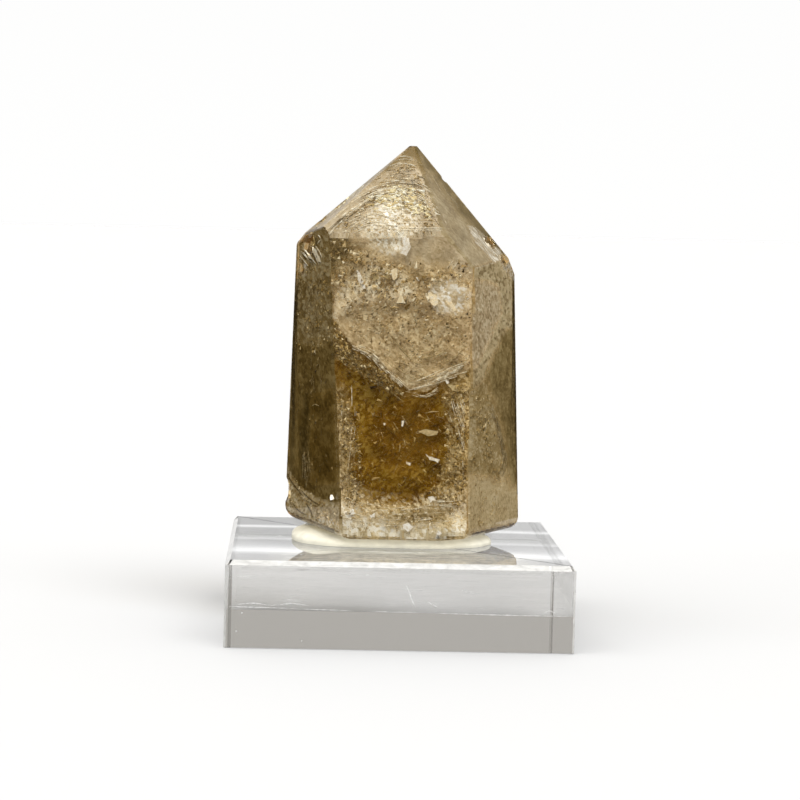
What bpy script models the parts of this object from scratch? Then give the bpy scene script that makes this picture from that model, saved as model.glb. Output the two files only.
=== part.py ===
# A smoky citrine point, held by a pad of putty on a clear acrylic block.
# Metres, +Z up, front towards -Y, origin at the middle of the block's underside.
import bpy
import bmesh
from math import cos, radians, sin
from mathutils import Matrix, Vector, noise

MM = 0.001
GAP = 0.3 * MM                       # clearance between touching pieces

BLOCK_WIDTH = 76.2 * MM
BLOCK_HEIGHT = 19.05 * MM
BLOCK_TOP_CHAMFER = 1.1 * MM
BLOCK_SIDE_CHAMFER = 0.4 * MM

AXIS_X = 2.0 * MM                    # the crystal's axis, through its apex
AXIS_Y = -1.0 * MM
BASE_Z = 21.3 * MM                   # underside of the crystal
APEX_Z = 110.6 * MM
BASE_FILLET = 2.4 * MM
EDGE_FILLET = 0.35 * MM              # wear on the polished edges
APEX_FLAT = 0.9 * MM                 # how much the worn tip has lost

# Prism faces: azimuth (0 faces front, 90 right), inward lean in degrees, distance from the axis at the base
PRISM_FACES = {
    "front": (0, 1.7, 18.5 * MM),
    "front_right": (60, 0.8, 21.0 * MM),
    "back_right": (120, 4.0, 25.6 * MM),
    "back": (180, 2.5, 22.0 * MM),
    "back_left": (-120, 4.3, 24.9 * MM),
    "front_left": (-58, -2.4, 22.5 * MM),
}

# Tip faces all pass through the apex: azimuth, slope up from level in degrees
TIP_FACES = {
    "front": (-2, 51.4),
    "front_right": (55, 53.4),
    "back_right": (115, 53.0),
    "back": (178, 51.0),
    "back_left": (-118, 48.6),
    "front_left": (-76, 40.0),
}

# Small worn or broken flats: azimuth, slope, and a point on each one
WORN_FLATS = {
    "left_shoulder": (-74, 58, Vector((-23.0, -7.6, 88.3)) * MM),
    "right_shoulder": (88, 66, Vector((25.4, -1.4, 82.6)) * MM),
}

# The underside rises towards its sides: azimuth, rise in degrees, a point where the rise starts
BASE_RISES = {
    "left": (-78, 15.5, Vector((-10.6, -19.5, 21.3)) * MM),
    "right": (62, 6, Vector((8.5, -19.5, 21.3)) * MM),
}

# Shell-shaped chips: the struck point, azimuth and rise of the way out, radius of the shell, depth
CHIPS = {
    "left_shoulder": (Vector((-21.6, -10.8, 86.4)) * MM, -62, 12, 4.6 * MM, 1.0 * MM),
    "left_shoulder_low": (Vector((-22.6, -9.3, 81.6)) * MM, -70, -4, 4.2 * MM, 0.6 * MM),
    "left_slope_low": (Vector((-19.3, -8.2, 91.7)) * MM, -80, 62, 3.8 * MM, 0.55 * MM),
    "left_slope_high": (Vector((-14.8, -7.4, 95.6)) * MM, -84, 60, 4.2 * MM, 0.4 * MM),
    "right_slope": (Vector((19.2, -4.6, 87.9)) * MM, 62, 38, 3.4 * MM, 0.25 * MM),
    "right_shoulder": (Vector((23.2, -4.2, 83.6)) * MM, 60, 30, 3.6 * MM, 0.45 * MM),
    "right_notch": (Vector((8.7, -1.3, 102.0)) * MM, 86, 40, 1.0 * MM, 0.4 * MM),
    "left_foot": (Vector((-24.8, -0.4, 30.4)) * MM, -78, -6, 5.0 * MM, 0.55 * MM),
    "back_foot": (Vector((17.4, 20.4, 25.2)) * MM, 140, -14, 5.2 * MM, 0.9 * MM),
    "back_edge": (Vector((-13.4, 19.6, 58.0)) * MM, -150, 4, 4.6 * MM, 0.7 * MM),
    "back_shoulder": (Vector((12.9, 18.2, 86.2)) * MM, 150, 22, 3.8 * MM, 0.7 * MM),
}
CHIP_ROUGHNESS = 0.12

PAD_CENTRE = Vector((-0.9, 1.0, 19.4)) * MM
PAD_RADII = Vector((23.4, 16.4, 6.4)) * MM
PAD_SQUARENESS = 0.72                # 1 is an ellipse, less is squarer


def new_collection(name):
    collection = bpy.data.collections.new(name)
    bpy.context.scene.collection.children.link(collection)
    return collection


def new_material(name, colour, roughness, metallic=0.0):
    material = bpy.data.materials.new(name)
    material.use_nodes = True
    shader = material.node_tree.nodes["Principled BSDF"]
    shader.inputs["Base Color"].default_value = (*colour, 1.0)
    shader.inputs["Roughness"].default_value = roughness
    shader.inputs["Metallic"].default_value = metallic
    material.diffuse_color = (*colour, 1.0)
    return material


def new_object(name, bm, collection, material=None):
    mesh = bpy.data.meshes.new(name)
    bmesh.ops.recalc_face_normals(bm, faces=bm.faces[:])
    bm.to_mesh(mesh)
    bm.free()
    shape = bpy.data.objects.new(name, mesh)
    if material:
        mesh.materials.append(material)
    collection.objects.link(shape)
    return shape


def direction(azimuth, elevation):
    turn = radians(azimuth)
    rise = radians(elevation)
    return Vector((sin(turn) * cos(rise), -cos(turn) * cos(rise), sin(rise)))


def grind(bm, point, normal):
    """Cuts the stone flat on one plane and closes the cut."""
    everything = bm.verts[:] + bm.edges[:] + bm.faces[:]
    bmesh.ops.bisect_plane(bm, geom=everything, dist=1e-7, plane_co=point, plane_no=normal, clear_outer=True)
    rim = [edge for edge in bm.edges if edge.is_boundary]
    if rim:
        bmesh.ops.holes_fill(bm, edges=rim, sides=0)


def sharp_edges(bm, least_degrees):
    return [edge for edge in bm.edges if edge.calc_face_angle(0.0) > radians(least_degrees)]


def level_edges(bm, height):
    return [edge for edge in bm.edges if all(abs(v.co.z - height) < 1e-6 for v in edge.verts)]


def foot_edges(bm):
    """The edges where a side meets the underside."""
    found = []
    for edge in bm.edges:
        leans = sorted(face.normal.z for face in edge.link_faces)
        if leans[0] < -0.9 and leans[1] > -0.5:
            found.append(edge)
    return found


def cut_away(shape, cutters):
    for cutter in cutters:
        cut = shape.modifiers.new("cut_" + cutter.name, "BOOLEAN")
        cut.operation = "DIFFERENCE"
        cut.solver = "EXACT"
        cut.object = cutter


def facet_crystal(collection, material):
    axis = Vector((AXIS_X, AXIS_Y, 0.0))
    bm = bmesh.new()
    bmesh.ops.create_cube(bm, size=260 * MM)
    for azimuth, lean, reach in PRISM_FACES.values():
        foot = axis + direction(azimuth, 0) * reach + Vector((0, 0, BASE_Z))
        grind(bm, foot, direction(azimuth, lean))
    apex = axis + Vector((0, 0, APEX_Z))
    for azimuth, slope in TIP_FACES.values():
        grind(bm, apex, direction(azimuth, 90 - slope))
    for azimuth, slope, point in WORN_FLATS.values():
        grind(bm, point, direction(azimuth, 90 - slope))
    grind(bm, apex - Vector((0, 0, APEX_FLAT)), Vector((0, 0, 1)))
    grind(bm, Vector((0, 0, BASE_Z)), Vector((0, 0, -1)))
    for azimuth, rise, point in BASE_RISES.values():
        grind(bm, point, direction(azimuth, rise - 90))
    bmesh.ops.remove_doubles(bm, verts=bm.verts[:], dist=5e-5)
    bm.normal_update()
    bmesh.ops.bevel(bm, geom=foot_edges(bm), offset=BASE_FILLET, segments=4, profile=0.5,
                    affect="EDGES", clamp_overlap=True)
    bmesh.ops.bevel(bm, geom=sharp_edges(bm, 24), offset=EDGE_FILLET, segments=2, profile=0.5,
                    affect="EDGES", clamp_overlap=True)
    return new_object("crystal_point", bm, collection, material)


def chip_cutter(name, struck, azimuth, rise, radius, depth, collection):
    """A lumpy ball that stands out of the stone, so its surface leaves a shell-shaped scar."""
    centre = struck + direction(azimuth, rise) * (radius - depth)
    bm = bmesh.new()
    bmesh.ops.create_icosphere(bm, subdivisions=3, radius=radius, matrix=Matrix.Translation(centre))
    for vertex in bm.verts:
        outward = vertex.co - centre
        vertex.co += outward * CHIP_ROUGHNESS * noise.noise(vertex.co / radius * 1.9)
    cutter = new_object(name + "_chip", bm, collection)
    cutter.hide_render = True
    cutter.display_type = "WIRE"
    return cutter


def shape_block(collection, material):
    bm = bmesh.new()
    size = Matrix.Diagonal((BLOCK_WIDTH, BLOCK_WIDTH, BLOCK_HEIGHT, 1))
    bmesh.ops.create_cube(bm, size=1.0, matrix=Matrix.Translation((0, 0, BLOCK_HEIGHT / 2)) @ size)
    uprights = [e for e in bm.edges if abs(e.verts[0].co.z - e.verts[1].co.z) > BLOCK_HEIGHT / 2]
    bmesh.ops.bevel(bm, geom=uprights, offset=BLOCK_SIDE_CHAMFER, segments=1, affect="EDGES")
    bmesh.ops.bevel(bm, geom=level_edges(bm, BLOCK_HEIGHT), offset=BLOCK_TOP_CHAMFER, segments=1,
                    affect="EDGES")
    return new_object("acrylic_block", bm, collection, material)


def squared(value):
    return abs(value) ** PAD_SQUARENESS * (1 if value > 0 else -1)


def shape_pad(crystal, collection, cutters, material):
    """A low mound, pressed flat by the block and moulded to the crystal above it."""
    bm = bmesh.new()
    bmesh.ops.create_uvsphere(bm, u_segments=56, v_segments=24, radius=1.0)
    for vertex in bm.verts:
        x, y, z = vertex.co
        vertex.co = Vector((squared(x) * PAD_RADII.x, squared(y) * PAD_RADII.y, z * PAD_RADII.z)) + PAD_CENTRE
    grind(bm, Vector((0, 0, BLOCK_HEIGHT + GAP)), Vector((0, 0, -1)))
    grind(bm, Vector((0, 0, BASE_Z + 3.0 * MM)), Vector((0, 0, 1)))
    pad = new_object("adhesive_pad", bm, collection, material)
    press = crystal.copy()
    press.data = crystal.data
    press.name = "crystal_press"
    press.location.z = -GAP
    press.hide_render = True
    press.display_type = "WIRE"
    cutters.objects.link(press)
    cut_away(pad, [press])
    return pad


for old in list(bpy.data.objects):
    bpy.data.objects.remove(old, do_unlink=True)

parts = new_collection("citrine_crystal_point")
tools = new_collection("cutters")

quartz = new_material("smoky_citrine", (0.30, 0.20, 0.07), 0.06)
acrylic = new_material("clear_acrylic", (0.86, 0.88, 0.88), 0.04)
putty = new_material("milky_putty", (0.76, 0.74, 0.66), 0.35)

shape_block(parts, acrylic)
point = facet_crystal(parts, quartz)
shape_pad(point, parts, tools, putty)
cut_away(point, [chip_cutter(name, *spec, tools) for name, spec in CHIPS.items()])
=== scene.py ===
import bpy
import bmesh
import random
from math import cos, hypot, pi, radians, sin, sqrt
from mathutils import Matrix, Vector, noise
from mathutils.bvhtree import BVHTree


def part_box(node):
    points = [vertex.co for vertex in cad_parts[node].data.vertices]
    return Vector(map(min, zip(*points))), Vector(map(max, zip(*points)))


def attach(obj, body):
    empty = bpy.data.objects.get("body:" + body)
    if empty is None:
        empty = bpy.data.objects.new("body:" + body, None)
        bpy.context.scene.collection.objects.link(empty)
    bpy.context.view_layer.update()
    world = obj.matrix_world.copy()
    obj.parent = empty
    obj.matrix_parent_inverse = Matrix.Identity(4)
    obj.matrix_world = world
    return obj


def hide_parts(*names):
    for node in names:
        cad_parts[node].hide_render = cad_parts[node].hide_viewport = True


mm = 0.001

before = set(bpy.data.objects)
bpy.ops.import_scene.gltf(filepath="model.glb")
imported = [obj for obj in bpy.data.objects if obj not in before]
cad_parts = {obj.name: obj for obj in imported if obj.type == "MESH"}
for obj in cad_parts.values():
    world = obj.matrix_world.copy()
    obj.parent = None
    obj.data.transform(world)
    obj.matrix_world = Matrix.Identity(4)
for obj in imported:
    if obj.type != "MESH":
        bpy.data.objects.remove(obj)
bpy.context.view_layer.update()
print("frame loaded")

# camera: places marked px, py below are where a thing shows in its 800-pixel frame
cameraView = {
    "place": Vector((-23.88, -588.35, 98.57)) * mm,
    "yaw": 2.358,               # degrees, to the right of +Y
    "pitch": -4.573,
    "roll": 1.462,              # level lines fall to the right
    "lens": 115.52,             # mm, on a 36 mm sensor
    "sensor": 36.0,
    "frameWidth": 800,
}


def cameraAxes(spec):
    yaw, pitch, roll = (radians(spec[key]) for key in ("yaw", "pitch", "roll"))
    ahead = Vector((sin(yaw) * cos(pitch), cos(yaw) * cos(pitch), sin(pitch)))
    levelRight = Vector((cos(yaw), -sin(yaw), 0))
    levelUp = levelRight.cross(ahead)
    right = levelRight * cos(roll) + levelUp * sin(roll)
    up = levelUp * cos(roll) - levelRight * sin(roll)
    return right, up, ahead


def placeCamera(spec):
    data = bpy.data.cameras.new("camera")
    data.lens = spec["lens"]
    data.sensor_width = spec["sensor"]
    data.clip_start = 0.01
    data.clip_end = 50
    camera = bpy.data.objects.new("camera", data)
    bpy.context.scene.collection.objects.link(camera)
    right, up, ahead = cameraAxes(spec)
    turn = Matrix((right, up, -ahead)).transposed().to_4x4()
    camera.matrix_world = Matrix.Translation(spec["place"]) @ turn
    bpy.context.scene.camera = camera


placeCamera(cameraView)

# studio
studio = {
    "floorSize": 12.0,          # metres
    "floorDrop": 0.2 * mm,      # clearance under the block
    "floorColour": (0.52, 0.52, 0.52),
    "lowPart": 0.2,
    "lowBands": [    # height of the view up the wall, colour
        (0.0, (1.0, 1.0, 0.995)), (0.1238, (0.98, 0.98, 0.975)), (0.1252, (0.80, 0.80, 0.80)),
        (0.1290, (0.78, 0.78, 0.78)), (0.1296, (1.5, 1.5, 1.5)), (0.1302, (0.80, 0.80, 0.80)),
        (0.1335, (0.84, 0.84, 0.83)), (0.1341, (1.3, 1.3, 1.3)), (0.1350, (0.84, 0.84, 0.84)),
        (0.1372, (1.05, 1.05, 1.05)), (0.1390, (1.7, 1.7, 1.7)), (0.1402, (0.95, 0.95, 0.95)),
        (0.1450, (0.85, 0.84, 0.825)), (0.158, (0.59, 0.57, 0.535)), (0.2, (0.59, 0.57, 0.535))],
    "wallColour": (0.59, 0.57, 0.535),
    "ceilingColour": (1.0, 0.995, 0.98),
    "flagColour": (0.02, 0.017, 0.012),
    # each flag's middle, width and height in mm, square to the stone
    "flags": [((-165, 62), 90, 95), ((150, 95), 100, 90)],
}


def node(tree, kind, **values):
    made = tree.nodes.new(kind)
    for name, value in values.items():
        if name in made.inputs:
            made.inputs[name].default_value = value
        else:
            setattr(made, name, value)
    return made


def newMaterial(name):
    material = bpy.data.materials.new(name)
    material.use_nodes = True
    material.node_tree.nodes.clear()
    return material, material.node_tree


def join(tree, source, target):
    tree.links.new(source, target)


def mattShader(tree, roughness, gloss=0.0):
    shader = node(tree, "ShaderNodeBsdfPrincipled", Roughness=roughness)
    shader.inputs["Specular IOR Level"].default_value = gloss
    out = node(tree, "ShaderNodeOutputMaterial")
    join(tree, shader.outputs[0], out.inputs["Surface"])
    return shader


def coverNode(tree, low, high, cover):    # turns a tone from low to high into a cover
    ramp = node(tree, "ShaderNodeMapRange")
    ramp.inputs["From Min"].default_value, ramp.inputs["From Max"].default_value = low, high
    ramp.inputs["To Min"].default_value, ramp.inputs["To Max"].default_value = cover
    return ramp


def meshFrom(bm, name, smooth=False):
    mesh = bpy.data.meshes.new(name)
    bm.to_mesh(mesh)
    bm.free()
    if smooth:
        mesh.shade_smooth()
    return mesh


def dropLoose(bm):
    loose = [vertex for vertex in bm.verts if not vertex.link_faces]
    bmesh.ops.delete(bm, geom=loose, context="VERTS")


def makeFloor(spec):
    half = spec["floorSize"] / 2
    low = -spec["floorDrop"]
    mesh = bpy.data.meshes.new("floor")
    corners = [(-half, -half, low), (half, -half, low), (half, half, low), (-half, half, low)]
    mesh.from_pydata(corners, [], [(0, 1, 2, 3)])
    floor = bpy.data.objects.new("floor", mesh)
    bpy.context.scene.collection.objects.link(floor)
    material, tree = newMaterial("paleFloor")
    shader = node(tree, "ShaderNodeBsdfPrincipled", Roughness=0.9)
    shader.inputs["Base Color"].default_value = (*spec["floorColour"], 1)
    out = node(tree, "ShaderNodeOutputMaterial")
    join(tree, shader.outputs[0], out.inputs["Surface"])
    mesh.materials.append(material)


def makeFlags(spec):    # dark cards out of view, which the stone's side faces mirror
    material, tree = newMaterial("flagBlack")
    shader = node(tree, "ShaderNodeBsdfDiffuse")
    shader.inputs["Color"].default_value = (*spec["flagColour"], 1)
    out = node(tree, "ShaderNodeOutputMaterial")
    join(tree, shader.outputs[0], out.inputs["Surface"])
    for number, (middle, width, height) in enumerate(spec["flags"]):
        middle = Vector(middle) * mm
        side = Vector((-middle.y, middle.x)).normalized() * width * mm / 2
        low, high = middle - side, middle + side
        mesh = bpy.data.meshes.new("flag%d" % number)
        mesh.from_pydata([(*low, 0), (*high, 0), (*high, height * mm), (*low, height * mm)], [],
                         [(0, 1, 2, 3)])
        mesh.materials.append(material)
        flag = bpy.data.objects.new("flag%d" % number, mesh)
        bpy.context.scene.collection.objects.link(flag)
        flag.visible_camera = flag.visible_diffuse = flag.visible_transmission = flag.visible_shadow = False


def fillRamp(ramp, stops):
    elements = ramp.color_ramp.elements
    while len(elements) > 1:
        elements.remove(elements[-1])
    elements[0].position = stops[0][0]
    elements[0].color = (*stops[0][1], 1)
    for place, colour in stops[1:]:
        stop = elements.new(place)
        stop.color = (*colour, 1)


def makeWorld(spec):
    world = bpy.data.worlds.new("softRoom")
    bpy.context.scene.world = world
    world.use_nodes = True
    tree = world.node_tree
    tree.nodes.clear()
    coords = node(tree, "ShaderNodeTexCoord")
    split = node(tree, "ShaderNodeSeparateXYZ")
    wall = spec["wallColour"]
    lowPart = node(tree, "ShaderNodeMapRange")    # the first fifth of the height gets a ramp of its own
    lowPart.inputs["From Max"].default_value = spec["lowPart"]
    lowRamp = node(tree, "ShaderNodeValToRGB")
    fillRamp(lowRamp, [(height / spec["lowPart"], colour) for height, colour in spec["lowBands"]])
    highRamp = node(tree, "ShaderNodeValToRGB")
    fillRamp(highRamp, [(0.0, wall), (0.50, wall), (0.75, spec["ceilingColour"])])
    isHigh = node(tree, "ShaderNodeMath", operation="GREATER_THAN")
    isHigh.inputs[1].default_value = spec["lowPart"]
    ramp = node(tree, "ShaderNodeMix", data_type="RGBA")
    back = node(tree, "ShaderNodeBackground")
    out = node(tree, "ShaderNodeOutputWorld")
    join(tree, coords.outputs["Generated"], split.inputs[0])
    join(tree, split.outputs["Z"], lowPart.inputs["Value"])
    join(tree, lowPart.outputs[0], lowRamp.inputs[0])
    join(tree, split.outputs["Z"], highRamp.inputs[0])
    join(tree, split.outputs["Z"], isHigh.inputs[0])
    join(tree, isHigh.outputs[0], ramp.inputs[0])
    join(tree, lowRamp.outputs[0], ramp.inputs[6])
    join(tree, highRamp.outputs[0], ramp.inputs[7])
    join(tree, ramp.outputs[2], back.inputs["Color"])
    join(tree, back.outputs[0], out.inputs["Surface"])


def fromCompass(azimuth, elevation):
    turn, rise = radians(azimuth), radians(elevation)
    return Vector((sin(turn) * cos(rise), -cos(turn) * cos(rise), sin(rise)))


def addSun(name, azimuth, elevation, strength, angle):
    data = bpy.data.lights.new(name, "SUN")
    data.energy = strength
    data.angle = radians(angle)
    lamp = bpy.data.objects.new(name, data)
    bpy.context.scene.collection.objects.link(lamp)
    lamp.rotation_euler = (-fromCompass(azimuth, elevation)).to_track_quat("-Z", "Y").to_euler()


makeFloor(studio)
makeFlags(studio)
makeWorld(studio)
addSun("keyLight", 38, 48, 2.6, 30)
addSun("fillLight", -60, 40, 1.6, 60)
addSun("frontLight", -8, 30, 0.95, 12)
print("studio ready")

# clear bodies
clearStone = {"ior": 1.544, "colour": (0.70, 0.58, 0.26), "density": 45.0, "roughness": 0.01,
              "gloss": (0.20, 0.16, 0.10)}
# painted shade: the block's grey absorption dims the bright floor seen through it to a light grey
clearBlock = {"ior": 1.491, "colour": (0.60, 0.59, 0.57), "density": 12.0, "roughness": 0.0,
              "gloss": (1, 1, 1)}


def clearMaterial(name, spec):
    material, tree = newMaterial(name)
    shader = node(tree, "ShaderNodeBsdfPrincipled", Roughness=spec["roughness"], IOR=spec["ior"])
    shader.inputs["Transmission Weight"].default_value = 1.0
    shader.inputs["Base Color"].default_value = (1, 1, 1, 1)
    shader.inputs["Specular Tint"].default_value = (*spec["gloss"], 1)
    absorb = node(tree, "ShaderNodeVolumeAbsorption", Density=spec["density"])
    absorb.inputs["Color"].default_value = (*spec["colour"], 1)
    lightPath = node(tree, "ShaderNodeLightPath")
    letThrough = node(tree, "ShaderNodeBsdfTransparent")
    mix = node(tree, "ShaderNodeMixShader")
    out = node(tree, "ShaderNodeOutputMaterial")
    join(tree, lightPath.outputs["Is Shadow Ray"], mix.inputs[0])
    join(tree, shader.outputs[0], mix.inputs[1])
    join(tree, letThrough.outputs[0], mix.inputs[2])
    join(tree, mix.outputs[0], out.inputs["Surface"])
    join(tree, absorb.outputs[0], out.inputs["Volume"])
    return material


def dress(name, material):
    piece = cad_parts[name]
    piece.data.materials.clear()
    piece.data.materials.append(material)


dress("crystal_point", clearMaterial("smokyCitrine", clearStone))
dress("acrylic_block", clearMaterial("clearAcrylic", clearBlock))

puttyLook = {"colour": (0.74, 0.71, 0.59), "roughness": 0.6, "gloss": 0.2, "mottle": 2.5 * mm, "bump": 0.3,
             "relief": 0.2 * mm}


def puttyMaterial(spec):
    material, tree = newMaterial("milkyPutty")
    coords = node(tree, "ShaderNodeTexCoord")
    mottle = node(tree, "ShaderNodeTexNoise", Scale=1 / spec["mottle"], Detail=5.0, Roughness=0.6)
    ramp = node(tree, "ShaderNodeValToRGB")
    fillRamp(ramp, [(0.35, tuple(0.86 * part for part in spec["colour"])), (0.65, spec["colour"])])
    bump = node(tree, "ShaderNodeBump", Strength=spec["bump"], Distance=spec["relief"])
    shader = mattShader(tree, spec["roughness"], spec["gloss"])
    join(tree, coords.outputs["Object"], mottle.inputs["Vector"])
    join(tree, mottle.outputs[0], ramp.inputs[0])
    join(tree, mottle.outputs[0], bump.inputs["Height"])
    join(tree, ramp.outputs[0], shader.inputs["Base Color"])
    join(tree, bump.outputs[0], shader.inputs["Normal"])
    return material


print("clear bodies ready")

# sight lines: where a thing has to lie in the stone to show at a place in the frame
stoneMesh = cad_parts["crystal_point"].data
stone = BVHTree.FromPolygons([v.co for v in stoneMesh.vertices], [p.vertices for p in stoneMesh.polygons])
largeFacet = 4 * mm * mm
stoneWalls = [(p.center.copy(), p.normal.copy()) for p in stoneMesh.polygons if p.area > largeFacet]


frameMiddle = cameraView["frameWidth"] / 2


def sightLine(px, py):
    right, up, ahead = cameraAxes(cameraView)
    reach = cameraView["lens"] / cameraView["sensor"] * cameraView["frameWidth"]
    return (ahead * reach + right * (px - frameMiddle) + up * (frameMiddle - py)).normalized()


def faceAt(px, py):
    hit, normal, _, _ = stone.ray_cast(cameraView["place"], sightLine(px, py))
    return hit, normal


stoneFaces = {
    "front": faceAt(400, 400),
    "tip": faceAt(395, 200),
    "left": faceAt(312, 420),
    "right": faceAt(496, 420),
    "tipRight": faceAt(455, 215),
    "tipLeft": faceAt(340, 206),
    "shoulder": faceAt(305, 250),
}


def enter(px, py, face):    # where a sight line meets a face, and its course inside
    point, normal = stoneFaces[face]
    line = sightLine(px, py)
    start = cameraView["place"] + line * ((point - cameraView["place"]).dot(normal) / line.dot(normal))
    ratio = 1 / clearStone["ior"]
    lean = -line.dot(normal)
    inner = line * ratio + normal * (ratio * lean - sqrt(1 - ratio * ratio * (1 - lean * lean)))
    return start, inner


def seenAt(px, py, depth, face):
    start, inner = enter(px, py, face)
    return start + inner * depth


def wayThrough(start, inner):    # how far a sight line runs in the stone
    runs = [((centre - start).dot(normal), inner.dot(normal)) for centre, normal in stoneWalls]
    return min(gap / lean for gap, lean in runs if lean > 1e-3)


def seenThrough(px, py, face):    # whether a place in the frame lies on that face, bevels left out
    flat = 0.97
    hit, normal = faceAt(px, py)
    return hit is not None and normal.dot(stoneFaces[face][1]) > flat


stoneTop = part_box("crystal_point")[1].z    # the tip is a little blunt
sameWall = 0.95          # walls whose normals agree this far count as one
deepestShare = 0.45      # of the way through the stone, for a veil


def insideStone(point, margin):
    within = all((point - centre).dot(normal) < -margin for centre, normal in stoneWalls)
    return point.z < stoneTop - margin and within


def toOtherWalls(point, face):    # how far a point is from every wall but the one it is seen through
    own = stoneFaces[face][1]
    return min((centre - point).dot(normal) for centre, normal in stoneWalls if normal.dot(own) < sameWall)


def inOutline(px, py, outline):
    inside = False
    for (ax, ay), (bx, by) in zip(outline, outline[1:] + outline[:1]):
        if (ay > py) != (by > py) and px < (bx - ax) * (py - ay) / (by - ay) + ax:
            inside = not inside
    return inside


def toOutline(px, py, outline):
    nearest = 1e9
    for (ax, ay), (bx, by) in zip(outline, outline[1:] + outline[:1]):
        run, rise = bx - ax, by - ay
        share = min(1, max(0, ((px - ax) * run + (py - ay) * rise) / (run * run + rise * rise)))
        nearest = min(nearest, hypot(px - ax - share * run, py - ay - share * rise))
    return nearest


def boxOf(outline):
    across, down = zip(*outline)
    return min(across), max(across), min(down), max(down)


def addPiece(name, mesh, material):
    piece = bpy.data.objects.new(name, mesh)
    bpy.context.scene.collection.objects.link(piece)
    mesh.materials.clear()
    mesh.materials.append(material)
    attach(piece, "root")
    return piece


# putty: a lump pressed between the stone and the block
puttyShape = {
    "rings": 34, "turns": 150, "square": 0.72, "steep": 3.0,
    # height where nothing presses on it, and the gaps to the stone and to the block, in mm
    "free": 3.7, "gap": 0.07, "foot": 0.03,
    "lump": 0.35, "lumpSize": 7, "dimple": 0.10, "dimpleSize": 1.6, "edge": 0.5, "edgeSize": 5,
}


def puttyMesh(spec):
    low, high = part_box("adhesive_pad")
    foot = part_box("acrylic_block")[1].z + spec["foot"] * mm
    middle, radii = (low + high) / 2, (high - low) / 2
    bm = bmesh.new()

    def squared(value):
        return abs(value) ** spec["square"] * (1 if value > 0 else -1)

    def lumpAt(x, y, share):
        up = stone.ray_cast(Vector((x, y, foot)), Vector((0, 0, 1)))[0]
        roof = up.z - spec["gap"] * mm - foot if up else spec["free"] * mm * 2
        free = spec["free"] * mm + spec["lump"] * mm * noise.noise(Vector((x, y,
                                                                           0)) / (spec["lumpSize"] * mm))
        free += spec["dimple"] * mm * noise.noise(Vector((x, y, 5)) / (spec["dimpleSize"] * mm))
        height = min(roof, free) * max(0.0, 1 - share ** spec["steep"]) ** (1 / spec["steep"])
        return foot + height

    centre = bm.verts.new((middle.x, middle.y, lumpAt(middle.x, middle.y, 0)))
    rings = []
    for ring in range(1, spec["rings"] + 1):
        share = sin(pi / 2 * ring / spec["rings"]) ** 0.7
        loop = []
        for turn in range(spec["turns"]):
            angle = 2 * pi * turn / spec["turns"]
            out = Vector((cos(angle), sin(angle), 0))
            ragged = 1 + noise.noise(out * radii.x / (spec["edgeSize"] * mm))
            wobble = 1 - spec["edge"] * mm / radii.x * ragged
            x = middle.x + squared(out.x) * radii.x * share * wobble
            y = middle.y + squared(out.y) * radii.y * share * wobble
            loop.append(bm.verts.new((x, y, lumpAt(x, y, share))))
        rings.append(loop)
    pairs = [(turn, (turn + 1) % spec["turns"]) for turn in range(spec["turns"])]
    for a, b in pairs:
        bm.faces.new([centre, rings[0][a], rings[0][b]])
    for inner, outer in zip(rings, rings[1:]):
        for a, b in pairs:
            bm.faces.new([inner[a], outer[a], outer[b], inner[b]])
    foot = bm.faces.new(rings[-1][::-1])
    for edge in foot.edges:
        edge.smooth = False
    bmesh.ops.recalc_face_normals(bm, faces=bm.faces)
    return meshFrom(bm, "putty", smooth=True)


putty = addPiece("putty", puttyMesh(puttyShape), puttyMaterial(puttyLook))
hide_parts("adhesive_pad")
print("putty ready")

# veils: curved healed fractures in the stone, as single sheets


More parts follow.
